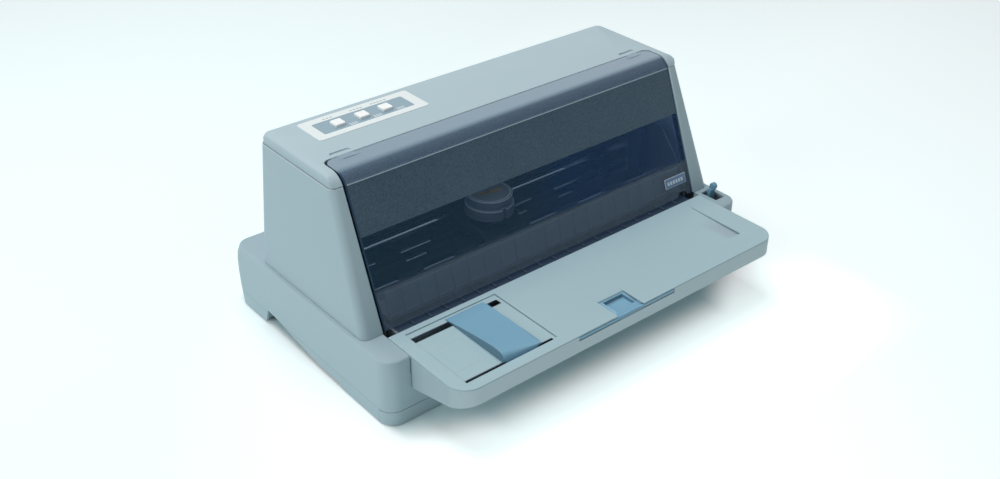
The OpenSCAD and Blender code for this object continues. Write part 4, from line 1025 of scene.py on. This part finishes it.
FRONT = span("base_housing")[0][1]
SEAM_Z = span("upper_housing")[1][2]
CAP_TOP = span("control_label")[0][2]
LEAN = math.radians(21.5)
SEAM_FRONT = FRONT + 95.5
PAPER_Z = 76.0
MIDDLE_X, HEAD_Y = middle_of("print_head")[:2]


def front_y(z):
    """Y of the cover's slanted face at height z."""
    return SEAM_FRONT - (SEAM_Z - np.asarray(z, float)) * math.tan(LEAN)


print("front wall", round(FRONT, 1), "seam", round(SEAM_Z, 1), "head at x", round(MIDDLE_X, 1))

# %% [markdown]
# ## Case
#
# The base, the upper housing and the cap are large thin mouldings with openings cut in many places.
# Their shape is already exact in the CAD model, and what it lacks is the small radius that every
# moulded edge has. So these are the CAD shells with their long edges rounded.

# %% Case shells
eased("base_shell", "base_housing", base_plastic, width=0.7, hollow=True)
eased("pan_shell", "bottom_pan", width=0.5)
eased("housing_shell", "upper_housing", upper_plastic, width=1.1, steps=3)
eased("cap_shell", "top_cap", cap_plastic, width=0.5)
eased("tray_shell", "tray", tray_plastic, width=0.45)
eased("tray_underside", "tray_bottom", width=0.4)
eased("rear_lid", "rear_cover", base_plastic, width=0.35)
FOOT_R = 9.0
feet_low, feet_high = span("rubber_feet")
foot_x, foot_y = ((feet_low[k] + FOOT_R, feet_high[k] - FOOT_R) for k in (0, 1))
foot_centres = [(x, y) for x in foot_x for y in foot_y]
foot_profile = np.concatenate([[(3.2, 1.0), (3.6, 0.0)], rim(FOOT_R, 0.0, feet_high[2], 0.9)])
piece("feet", joined(*(turned(foot_profile, centre, count=40) for centre in foot_centres)),
      rubber, "case", "rubber_feet")

# %% [markdown]
# ## Front cover
#
# The cover is one sheet of smoked plastic. Seen from the side its outline runs up the slant, round a
# roll and back along the top; from above its rear corners are rounded. That is a surface of two
# parameters, the way along the outline and the way across, with a second sheet 2.3 mm below it. Its
# foot is cut out at the right by a small arch, a low rib runs across where the cap's seam ends, and
# two tabs are raised over the hinges.

# %% Cover outline
COVER_HALF, COVER_WALL = 210.5, 2.3
COVER_LOW, COVER_TOP = 76.8, CAP_TOP - 0.4
COVER_REAR, COVER_CORNER = FRONT + 130.5, 9.6
ROLL_R = 18.4
ROLL_Z = COVER_TOP - ROLL_R
ROLL_Y = float(front_y(ROLL_Z)) + ROLL_R / math.cos(LEAN)
FOOT_TOP = 92.0
HINGE = (FRONT + 137.5, CAP_TOP - 7.0)
HINGE_X = (-188.0, 188.0)


def cover_line():
    """Points and normals, as (y, z), from the foot up the slant, round the roll and back."""
    slant = np.concatenate([np.linspace(COVER_LOW, FOOT_TOP, 9), np.linspace(FOOT_TOP, 207.9, 14)[1:]])
    points = [np.column_stack([front_y(slant), slant])]
    normals = [np.tile([-math.cos(LEAN), math.sin(LEAN)], (len(slant), 1))]
    roll = arc(ROLL_Y, ROLL_Z, ROLL_R, 180 - math.degrees(LEAN), 90, 40)[1:]
    points.append(roll)
    normals.append((roll - (ROLL_Y, ROLL_Z)) / ROLL_R)
    back = np.linspace(ROLL_Y, COVER_REAR, 18)[1:]
    points.append(np.column_stack([back, np.full(len(back), COVER_TOP)]))
    normals.append(np.tile([0.0, 1.0], (len(back), 1)))
    return np.concatenate(points), np.concatenate(normals)


# %% Cover sheet
def cover_sheets(line, normals):
    """Outer and inner sheet. Across, x is narrowed near the rear by the corner's circle; at the foot
    z follows a half ellipse over the arch; outwards, the rib and the two tabs stand 0.5 mm proud."""
    u = np.unique(np.concatenate([
        np.linspace(-COVER_HALF, COVER_HALF, 40), np.linspace(174, COVER_HALF, 22),
        -np.linspace(174, COVER_HALF, 22), np.linspace(187, 204, 30)]))
    y, z = (line[:, k][:, None] for k in (0, 1))
    ny, nz = (normals[:, k][:, None] for k in (0, 1))
    into = np.maximum(y - (COVER_REAR - COVER_CORNER), 0)
    half = COVER_HALF - COVER_CORNER + np.sqrt(np.maximum(COVER_CORNER**2 - into**2, 0))
    keep, away = 198.0, np.abs(u)
    x = np.sign(u) * np.where(away < keep, away, keep + (away - keep) * (half - keep) / (COVER_HALF - keep))
    arch = 5.0 * np.sqrt(np.maximum(1 - ((x - 195.5) / 7.4) ** 2, 0))
    share = np.clip((FOOT_TOP - z) / (FOOT_TOP - COVER_LOW), 0, 1)
    rise = arch * share
    y, z = y + rise * math.tan(LEAN), z + rise
    rib = plateau(z, SEAM_Z - 0.7, SEAM_Z + 0.7, 0.5) * (y < ROLL_Y)
    tab = plateau(np.abs(x), 179, 196, 0.6) * eased_step(y, FRONT + 123.2, FRONT + 124.2)
    lift = 0.5 * np.maximum(rib, tab)
    outer = np.stack([x + 0 * y, y + ny * lift, z + nz * lift], -1)
    inner = np.stack([x + 0 * y, y - ny * COVER_WALL, z - nz * COVER_WALL], -1)
    return outer, inner


line, line_normals = cover_line()
cover_skin = shelled(*cover_sheets(line, line_normals), bulge=0.4)


def cover_flank(side):
    """The cover's side wall: the same outline carried inwards from 1.5 to 6.5 mm, 1.2 mm thick."""
    rows = (line[:, 1] > COVER_LOW + 3) & (line[:, 0] < ROLL_Y + 2)
    depth = np.linspace(1.5, 6.5, 4)[:, None]
    yz = line[rows][:, None] - line_normals[rows][:, None] * depth
    sheets = [np.concatenate([np.full(yz.shape[:2] + (1,), side * x), yz], -1) for x in (209.7, 208.5)]
    return shelled(*sheets, bulge=0.3)


# %% Hinge hooks
def hook():
    """Side outline of a gooseneck: an arc round the cap's edge, then an arm to the pin, with an eye."""
    outside, inside = arc(0, 0, 12.8, 152, 249, 20), arc(0, 0, 10.0, 235, 152, 16)
    arm = np.array([(2.0 * math.cos(a), 2.0 * math.sin(a)) for a in map(math.radians, (289, 189))])
    outline = np.concatenate([outside, arm, inside]) + HINGE
    return joined(slab(outline, -5, 5, 0.5, axis="x"), roller(-5, 5, 4.0, HINGE, edge=0.4, bore=1.55))


hooks = repeated(hook(), [(x, 0, 0) for x in HINGE_X])
cover_shape = joined(cover_skin, cover_flank(-1), cover_flank(1), hooks)
piece("smoked_cover", cover_shape, cover_plastic, "cover", "front_cover")
print("cover:", len(cover_shape[0]), "points; roll centre", round(ROLL_Y, 1), round(ROLL_Z, 1))

# %% [markdown]
# ## Badge
#
# A thin plate with rounded corners lies on the cover's foot. It is bare, apart from a pale frame and
# a row of plain squares. It is made lying flat and then leant back with the cover.

# %% Badge
def on_cover(shape):
    """A shape lying in x and y, with z as height, moved on to the slant: its y runs up the cover."""
    points, faces = shape
    up, out = points[:, 1], points[:, 2]
    y = front_y(BADGE_Z[0]) + up * math.sin(LEAN) - out * math.cos(LEAN)
    z = BADGE_Z[0] + up * math.cos(LEAN) + out * math.sin(LEAN)
    return np.column_stack([points[:, 0], y, z]), faces


badge_height = (BADGE_Z[1] - BADGE_Z[0]) / math.cos(LEAN)
badge_plate = slab(box_outline(*BADGE_X, 0, badge_height, 0.8), 0.02, 0.5, 0.15, 0.02)
piece("badge_plate", on_cover(badge_plate), badge_film, "cover", "cover_badge")

# %% [markdown]
# ## Buttons
#
# Each button is a square moulding with rounded corners and a slightly dished top. Its rings are the
# outline drawn in, up the side and over the edge; inside them the outline shrinks towards the middle
# while the height sinks with the square of the distance.

# %% Buttons
def square(x, y, half, radius):
    """A square outline with rounded corners about (x, y)."""
    return box_outline(x - half, x + half, y - half, y + half, radius)


def dished(outline, low, high, edge, dish):
    """A slab whose top sinks by dish towards the middle, as one less the distance squared."""
    t = np.linspace(0, np.pi / 2, 6)
    outlines = [outline] + [drawn_in(outline, edge * (1 - math.cos(a))) for a in t]
    heights = [low] + [high - edge * (1 - math.sin(a)) for a in t]
    middle = outlines[-1].mean(0)
    for share in (0.85, 0.65, 0.4, 0.15):
        outlines.append(middle + (outlines[6] - middle) * share)
        heights.append(high - dish * (1 - share**2))
    return rings(laid(outlines, heights))


BUTTON_HALF, FLANGE_HALF, BUTTON_TOP = 6.0, 7.5, CAP_TOP + 3.0
for which, x in zip(("left", "middle", "right"), BUTTON_X):
    button = "button_" + which
    key = dished(square(x, BUTTON_Y, BUTTON_HALF, 1.4), CAP_TOP - 4, BUTTON_TOP, 0.9, 0.35)
    flange = slab(square(x, BUTTON_Y, FLANGE_HALF, 1), CAP_TOP - 6, CAP_TOP - 3.2, 0.3)
    stem = roller(span(button)[0][2], CAP_TOP - 5.8, 1.5, (x, BUTTON_Y), "z", 0.2, 24)
    piece("key_" + which, joined(key, flange, stem), button_plastic, button, button)
print("buttons", BUTTON_X)

# %% [markdown]
# ## Tray extension
#
# The blue strip in the tray's lip is pulled out to hold longer sheets. A finger goes into the pocket
# of its pull. The pocket is two outlines with equally many points, one inside the other, joined down
# a wall with a rounded foot.

# %% Tray extension
TRAY_FRONT = span("tray")[0][1]
STRIP_X, PULL_X = (-73.0, 55.0), (-22.6, 11.6)
SLIDE_Z, PLATE_Z, POCKET_Z, PULL_Z = 69.5, 72.5, 70.2, 74.6
POCKET_BACK, PLATE_BACK = 8.6, FRONT - 46.0


def pull_block():
    """Outer rings go up the block and over its edge, inner rings down the pocket. In front of the
    pocket the rim slopes down by three tenths of the distance."""
    outer = box_outline(*PULL_X, TRAY_FRONT, PLATE_BACK - 0.6, 0.9, 6)
    pocket = box_outline(
        PULL_X[0] + 4.6, PULL_X[1] - 3.8, TRAY_FRONT + POCKET_BACK, PLATE_BACK - 3.6, 1.0, 6)

    def rim_z(outline, below):
        return PULL_Z - below - 0.3 * np.maximum(TRAY_FRONT + POCKET_BACK - outline[:, 1], 0)

    t = np.linspace(0, np.pi / 2, 4)
    over = [drawn_in(outer, 0.5 * (1 - math.cos(a))) for a in t]
    lip = [drawn_in(pocket, -0.35 * math.cos(a)) for a in t]
    foot = [drawn_in(pocket, 1.0 * math.sin(a)) for a in t]
    outlines = [outer, *over, *lip, *foot]
    heights = [SLIDE_Z, *(rim_z(o, 0.5 * (1 - math.sin(a))) for o, a in zip(over, t)),
               *(rim_z(o, 0.35 * math.sin(a)) for o, a in zip(lip, t)),
               *(POCKET_Z + 1.0 * (1 - math.sin(a)) for a in t)]
    return rings(laid(outlines, heights))


strip_outline = box_outline(TRAY_FRONT + 0.3, TRAY_FRONT + 2.5, SLIDE_Z + 0.3, 73.6, 0.7)
strip = slab(strip_outline, *STRIP_X, 0.5, axis="x")
plate_boxes = (
    (STRIP_X[0] + 3, PULL_X[0] + 1, TRAY_FRONT + 1, PLATE_BACK),
    (PULL_X[1] - 1, STRIP_X[1] - 3, TRAY_FRONT + 1, PLATE_BACK),
    (STRIP_X[0] + 3, STRIP_X[1] - 3, PLATE_BACK - 1.5, FRONT - 6))
plates = [slab(box_outline(*box, 0.6), SLIDE_Z, PLATE_Z, 0.3) for box in plate_boxes]
piece("extension_strip", joined(strip, *plates, pull_block()), pull_plastic, "extension", "tray_extension")

# %% [markdown]
# ## Edge guide
#
# The blue guide sets the sheet's left edge. It is a thin ramp: its left side is high enough to
# grip, its right edge lies almost flat on the tray. The height is a function of y, blended across x.

# %% Edge guide
guide_low, guide_high = span("edge_guide")
GUIDE_X = guide_low[0], guide_high[0]
GUIDE_WALL, GUIDE_RISE, CREST, GUIDE_BACK, NOSE = 1.5, 9.7, -50, 25, 11.6
SLOT_MIDDLES = (FRONT + 17, FRONT - 61)
FOOT_Z = 70.1


def guide_height(p):
    """Height over the base's top at p behind the base's front. Behind the crest it is the rise less
    the power 1.35 of the way back; in front it falls as a superellipse of power 3.2 over the nose."""
    back = 1 - (np.clip(p - CREST, 0, GUIDE_BACK - CREST) / (GUIDE_BACK - CREST)) ** 1.35
    fall = (1 - np.clip((CREST - p) / NOSE, 0, 1) ** 3.2) ** (1 / 3.2)
    return GUIDE_RISE * np.where(p > CREST, back, fall)


def guide_sheet(draw):
    """The ramp drawn in by draw: columns run from the rear to the front, rows from left to right."""
    t = np.linspace(0, 1, 24)[:, None]
    nose = CREST - (NOSE - draw) * np.sin(np.linspace(0, np.pi / 2, 14)[1:])
    p = np.concatenate([np.linspace(GUIDE_BACK - draw, CREST, 30), nose])
    left = np.maximum(guide_height(p) - draw, -0.3)
    right = np.minimum(left, 1.2 + 0.07 * left - draw * 0.5)
    height = left + (right - left) * t
    height[:, -1] = np.minimum(height[:, -1], -0.2)
    x = GUIDE_X[0] + (GUIDE_X[1] - GUIDE_X[0]) * t + 0 * p
    return np.stack([x, FRONT + p + 0 * x, BASE_TOP + np.maximum(height, -0.2)], -1)


guide_top, guide_under = guide_sheet(0.0), guide_sheet(GUIDE_WALL)
guide_skin = shelled(guide_top, guide_under - (0, 0, 0.01), bulge=0.15)
side_line = guide_under[0][:, 1:]
side_foot = [(side_line[end, 0], BASE_TOP - 0.35) for end in (-1, 0)]
side_outline = np.concatenate([side_line + (0, 0.4), side_foot])
guide_side = slab(side_outline, GUIDE_X[0] + 0.02, GUIDE_X[0] + GUIDE_WALL, 0.1, axis="x")
guide_feet = [
    slab(box_outline(GUIDE_X[0] + 4, GUIDE_X[1] - 4, y - half, y + half), FOOT_Z, top, 0.2)
    for half, top in ((0.9, 75.4), (5, 72.5)) for y in SLOT_MIDDLES]
piece("edge_ramp", joined(guide_skin, guide_side, *guide_feet), blue_plastic, "edge_guide", "edge_guide",
      sharp=45)
print("guide from x", GUIDE_X)

# %% [markdown]
# ## Release lever
#
# The lever frees the rollers for a stuck sheet. Its blade is a bent outline with one thickness, and a
# thinner cheek beside it ends in a small hook.

# %% Release lever
LEVER = (FRONT + 30.0, 42.0)
lever_low, lever_high = span("release_lever")
LEVER_X = lever_low[0], lever_high[0]


def lever_blade():
    """Blade, cheek and hub. The blade's front and rear edges are bent lines, closed by a round top."""
    front_edge = [(-5.0, 0.0), (-3.8, 20.0), (-3.2, 30.0), (-3.2, 36.5), (-4.4, 39.0), (-6.2, 41.5)]
    rear_edge = [(1.6, 38.0), (2.9, 32.0), (3.6, 26.0), (5.0, 0.0)]
    outline = np.concatenate([front_edge, arc(-2.4, 43.2, 3.9, 200, 20, 12), rear_edge])[::-1] + LEVER
    blade = slab(outline, LEVER_X[0] + 2.4, LEVER_X[1], 0.9, axis="x")
    hook_edge = [(2.4, 35.0), (0.6, 33.6), (2.8, 30.0), (4.0, 0.0)]
    cheek_line = np.concatenate([[(-4.0, 0.0), (-3.0, 30.0)], arc(-0.1, 37.3, 2.9, 190, 60, 8), hook_edge])
    cheek = slab(cheek_line[::-1] + LEVER, LEVER_X[0], LEVER_X[0] + 2.6, 0.4, axis="x")
    hub = roller(*LEVER_X, 7.0, LEVER, edge=0.6, bore=3.0)
    return joined(blade, cheek, hub)


piece("lever_blade", lever_blade(), lever_plastic, "lever", "release_lever", sharp=45)

# %% [markdown]
# ## Paper guides
#
# Behind the cover's foot stands a dark comb of panels, 20 mm apart, that keeps the sheet down. Each
# panel is a bent plate: a flat ledge at its foot, then a steep face. The two lower guides have a
# rib every 20 mm for the sheet to slide on.

# %% Comb behind the cover
comb_low, comb_high = span("upper_paper_guide")
PANEL_PITCH, PANEL_HALF = 20.0, 9.4


def comb_part(corners, radii, low, high, edge):
    """A side outline, with (y, z) counted from the comb's lowest corner, carried from low to high."""
    return slab(rounded(np.array(corners) + comb_low[1:], radii), low, high, edge, axis="x")


ledge, face = [(0.4, 0), (32.4, 0), (32.4, 2), (5.4, 2.2)], [(4.0, 5.4), (9.0, 28.2), (7.0, 28.2), (1.4, 5.6)]
panel_radii = (0.5, 0.5, 0.5, 0.6, 0.8, 0.9, 0.9, 0.5, 0.5)
panel = comb_part([*ledge, *face, (0.4, 5.0)], panel_radii, -PANEL_HALF, PANEL_HALF, 0.35)
comb_points, comb_faces = repeated(panel, [(PANEL_PITCH * (i + 0.5), 0, 0) for i in range(-10, 10)])
comb_points[:, 0] = np.clip(comb_points[:, 0], comb_low[0], comb_high[0])
back_plate = comb_part([(6, 0), (32, 0), (32, 1.9), (6, 1.9)], 0.4, comb_low[0], comb_high[0], 0.2)
spine = comb_part([(3.2, 4), (4.6, 4), (9.3, 27), (8.2, 27)], 0.3, comb_low[0], comb_high[0], 0.2)
comb_shape = joined((comb_points, comb_faces), back_plate, spine)
piece("sheet_comb", comb_shape, comb_plastic, "case", "upper_paper_guide")
eased("front_sheet_guide", "front_paper_guide", guide_plastic, width=0.25)
eased("rear_sheet_guide", "rear_paper_guide", guide_plastic, width=0.25)

# %% [markdown]
# ## Shafts and rollers
#
# Everything that turns about an axis along x is a rounded profile turned about it. The rubber
# rollers have a hole for their shaft, so the two stay separate pieces.

# %% Shafts and rollers
PLATEN = (FRONT + 120.0, PAPER_Z - 11.0)
FEEDS = {"front": (FRONT + 100.0, PAPER_Z - 8.0), "rear": (FRONT + 140.0, PAPER_Z - 8.0)}
SLEEVES = [70.0 * i for i in range(-2, 3)]
SHAFT_R = 3.0


def shaft(node, radius, centre, edge=0.6):
    """A plain shaft as long as a CAD node."""
    low, high = span(node)
    return roller(low[0], high[0], radius, centre, edge=edge, count=40)


ROD = middle_of("carriage_rod")[1:]
piece("rod", shaft("carriage_rod", 6.0, ROD, 1.0), ground_steel, "case", "carriage_rod")
piece("platen_axle", shaft("platen_shaft", SHAFT_R, PLATEN), ground_steel, "platen", "platen_shaft")
sleeve_x = [corner[0] for corner in span("platen_rubber")]
piece("platen_sleeve", roller(*sleeve_x, 11.0, PLATEN, edge=0.8, count=80, bore=SHAFT_R),
      rubber, "platen", "platen_rubber")
for side, centre in FEEDS.items():
    body, pinch_node = side + "_feed", side + "_pinch_rollers"
    feed = joined(*(roller(x - 20, x + 20, 8.0, centre, edge=0.7, count=56, bore=SHAFT_R)
                    for x in SLEEVES))
    piece(body + "_sleeves", feed, roller_rubber, body, body + "_roller")
    piece(body + "_axle", shaft(body + "_shaft", SHAFT_R, centre), ground_steel, body, body + "_shaft")
    nip = (centre[0], PAPER_Z + 5.1)
    pinch = joined(shaft(pinch_node, 2.0, nip, 0.4),
                   *(roller(x - 15, x + 15, 4.8, nip, edge=0.6, count=40) for x in SLEEVES))
    piece(side + "_pinch_row", pinch, pinch_finish, side + "_pinch", pinch_node)
print("rollers:", 2 * len(SLEEVES), "sleeves; rod at", ROD.round(1))

# %% [markdown]
# ## Print head
#
# The head is one casting about the wires' axis: a foot, two fins that carry heat away, a thick ring,
# a neck and a lid. A slot down its front takes the plug of its cable, so each outline is a circle
# with nine points that can move back to the slot's floor. The nose below holds the wires' ends.

# %% Print head
HEAD_Z = PAPER_Z + 15.5
HEAD_FOOT_R, CORE_R, FIN_R, RING_R, NECK_R, LID_R = 22.5, 19.0, 23.0, 26.0, 23.2, 24.3
SLOT_HALF, SLOT_FLOOR, CUT_POINTS = 2.8, -22.0, 9


def head_profile():
    """Foot, two fins, the thick ring with a fine groove, neck and lid as rows of (radius, height)."""
    ring = rim(RING_R, 12, 24.3, 0.8)
    groove = [(RING_R, 20.0), (RING_R - 0.5, 20.3), (RING_R - 0.5, 20.9), (RING_R, 21.2)]
    rows = [rim(HEAD_FOOT_R, 0, 4, 0.5), [(CORE_R, 4.1), (CORE_R, 5.4)],
            rim(FIN_R, 5.5, 7.1, 0.4), [(CORE_R, 7.2), (CORE_R, 8.7)],
            rim(FIN_R, 8.8, 10.4, 0.4), [(CORE_R, 10.5), (CORE_R, 11.9)],
            ring[:4], groove, ring[4:], [(NECK_R, z) for z in (24.4, 29.0, 29.01, 29.4)],
            rim(LID_R, 29.5, 35.0, 0.9), [(22.2, 35.0), (21.9, 34.7), (21.4, 34.7), (21.1, 35.0)]]
    return np.concatenate([np.asarray(row, float) for row in rows])


def head_outline(radius, slot):
    """A circle from the slot's right edge round to its left edge, then nine points across the slot.
    With slot they lie on its floor, and else on the circle, at y = -root(r^2 - x^2)."""
    edge = math.asin(SLOT_HALF / radius)
    start = edge - math.pi / 2
    round_part = np.linspace(start, start + 2 * math.pi - 2 * edge, 96)
    x = np.linspace(0.05 - SLOT_HALF, SLOT_HALF - 0.05, CUT_POINTS)
    y = np.where(slot, SLOT_FLOOR, -np.sqrt(radius**2 - x**2))
    turn_points = radius * np.column_stack([np.cos(round_part), np.sin(round_part)])
    return np.concatenate([turn_points, np.column_stack([x, y])])


profile = head_profile()
in_slot = (profile[:, 1] > 11.95) & (profile[:, 1] < 29.005) & (profile[:, 0] > -SLOT_FLOOR + 0.1)
outlines = [head_outline(r, cut) + (MIDDLE_X, HEAD_Y) for r, cut in zip(profile[:, 0], in_slot)]
head_cast = rings(laid(outlines, HEAD_Z + profile[:, 1]))
nose_top, tip = HEAD_Z + 1, PAPER_Z + 1.7
nose_line = [(HEAD_Y - 8, nose_top), (HEAD_Y - 3, tip), (HEAD_Y + 3, tip), (HEAD_Y + 8, nose_top)]
nose = slab(rounded(nose_line, (0.5, 1, 1, 0.5)), MIDDLE_X - 5, MIDDLE_X + 5, 0.6, axis="x")
piece("head_casting", joined(head_cast, nose), head_paint, "carriage", "print_head")

tilt = math.radians(-10)
turn = np.array([[math.cos(tilt), math.sin(tilt)], [-math.sin(tilt), math.cos(tilt)]])
label_low, label_high = span("head_label")
label_outline = box_outline(-14.1, 14.1, -3.5, 3.5, 2.2) @ turn + middle_of("head_label")[:2]
plate = slab(label_outline, label_low[2] + 0.01, label_high[2], 0.06)
piece("head_plate", plate, gold_film, "carriage", "head_label")
eased("carriage_body", "carriage", width=0.4, body="carriage")
eased("ribbon_shoe", "ribbon_guide", width=0.12, body="carriage")

# %% [markdown]
# ## Ribbon
#
# The cartridge is a long black box on two arms. Its knob winds the ribbon by hand, so its side is
# fluted: the radius follows a cosine of twenty times the angle. The two rims are plain circles.

# %% Ribbon cartridge and knob
eased("cartridge_body", "ribbon_cartridge", cartridge_plastic, width=0.7)
knob_low, knob_high = span("ribbon_knob")
KNOB = middle_of("ribbon_knob")[:2]
KNOB_R, FLUTES, FLUTE_DEPTH = 8.0, 20, 0.06


def knob():
    """Fluted disc with a grip bar and a stem."""
    angle = np.linspace(0, 2 * np.pi, 160, endpoint=False)
    unit = np.column_stack([np.cos(angle), np.sin(angle)])
    profile = rim(KNOB_R, knob_high[2] - 8.6, knob_high[2] - 3.0, 0.8)
    flute = 1 - FLUTE_DEPTH * (0.5 + 0.5 * np.cos(FLUTES * angle))[:, None]
    outlines = [KNOB + unit * r * (flute if 1 < i < 6 else 1.0) for i, (r, _) in enumerate(profile)]
    disc = rings(laid(outlines, profile[:, 1]))
    bar_outline = box_outline(KNOB[0] - 6.4, KNOB[0] + 6.4, KNOB[1] - 1, KNOB[1] + 1, 0.9)
    bar = slab(bar_outline, knob_high[2] - 3.2, knob_high[2], 0.5, 0.1)
    return joined(disc, bar, roller(knob_low[2], knob_high[2] - 8, 3.0, KNOB, "z", 0.3, 32))


piece("winding_knob", knob(), knob_plastic, "ribbon_knob", "ribbon_knob")

# %% [markdown]
# ## Belt and cable
#
# The toothed belt is a loop of two straights and two half circles. Its inner line is lowered by a
# tooth every two millimetres. The flat cable is a strip that folds back once behind the carriage.

# %% Belt and pulleys
belt_low, belt_high = span("timing_belt")
BELT_Y = middle_of("timing_belt")[1]
PULLEY_X, BELT_R, BELT_TEETH = 185.0, 9.0, 398
SEAT_R, FLANGE_R = 8.0, 11.0


def loop_line(offset, count):
    """Points on the belt's line moved out by offset, evenly spaced along its middle line."""
    straight, turn = 2 * PULLEY_X, math.pi * BELT_R
    s = np.linspace(0, 2 * (straight + turn), count, endpoint=False)[:, None]
    r = BELT_R + offset
    angle = np.clip((s - straight) / BELT_R, 0, np.pi) + np.clip((s - 2 * straight - turn) / BELT_R, 0, np.pi)
    x = -PULLEY_X + np.clip(s, 0, straight) - np.clip(s - straight - turn, 0, straight)
    return np.concatenate([x + r * np.sin(angle), BELT_Y - r * np.cos(angle)], 1)


def belt():
    """Outer face, then the inner face with its teeth, as a closed ring of four lines."""
    per_tooth = 6
    count = BELT_TEETH * per_tooth
    tooth = (np.arange(count) % per_tooth < per_tooth // 2)[:, None]
    outside = loop_line(0.8, count)
    inside = np.where(tooth, loop_line(-0.8, count), loop_line(-0.1, count))
    heights = [belt_low[2], belt_high[2], belt_high[2], belt_low[2]]
    return rings(laid([outside, outside, inside, inside], heights), closed=True)


piece("toothed_belt", belt(), rubber, "case", "timing_belt", sharp=25)


def pulley(node, stem_r):
    """Hub, lower flange, belt seat, upper flange."""
    foot, low, high = span(node)[0][2], belt_low[2], belt_high[2]
    profile = [
        (stem_r, foot), (stem_r, low - 1.8), *rim(FLANGE_R, low - 1.8, low - 0.6, 0.4),
        (SEAT_R, low - 0.5), (SEAT_R, high + 0.5), *rim(FLANGE_R, high + 0.6, high + 1.8, 0.4),
        (3.4, high + 1.8), (3.2, high + 1.2)]
    return turned(profile, (middle_of(node)[0], BELT_Y))


for pulley_name, pulley_node, stem_r in (
        ("motor_pulley", "drive_pulley", 2.0), ("far_pulley", "idler_pulley", 7.4)):
    piece(pulley_name, pulley(pulley_node, stem_r), pulley_metal, pulley_node, pulley_node)

# %% Cable
cable_low, cable_high = span("head_cable")
CABLE_THICK = 0.5


def cable_line(inset):
    """Two straights and a half circle, seen from above and drawn in by inset."""
    near, far = cable_low[1], cable_high[1]
    radius = (far - near) / 2
    turn_x = cable_low[0] + radius
    angle = np.linspace(0, np.pi, 40)
    bend_x = turn_x - (radius - inset) * np.sin(angle)
    bend_y = near + radius - (radius - inset) * np.cos(angle)
    start = np.column_stack([np.linspace(MIDDLE_X + 20, turn_x, 20), np.full(20, near + inset)])
    end = np.column_stack([np.linspace(turn_x, cable_high[0], 30), np.full(30, far - inset)])
    return np.concatenate([start[:-1], np.column_stack([bend_x, bend_y]), end[1:]])


def upright(line):
    """A line in x and y repeated at five heights of the cable, as rows of points."""
    heights = np.linspace(cable_low[2] + 0.1, cable_high[2] - 0.1, 5)
    return np.stack([np.column_stack([line, np.full(len(line), z)]) for z in heights])


cable = shelled(upright(cable_line(0.0)), upright(cable_line(CABLE_THICK)), bulge=0.1)
piece("folded_cable", cable, cable_film, "case", "head_cable", sharp=60)

# %% [markdown]
# ## Sockets
#
# The mains inlet and the rocker keep their CAD shape, with the small radius of their moulds.

# %% Sockets
eased("socket_block", "power_inlet", socket_finish, width=0.4)
eased("rocker_key", "power_switch", width=0.35, body="rocker")
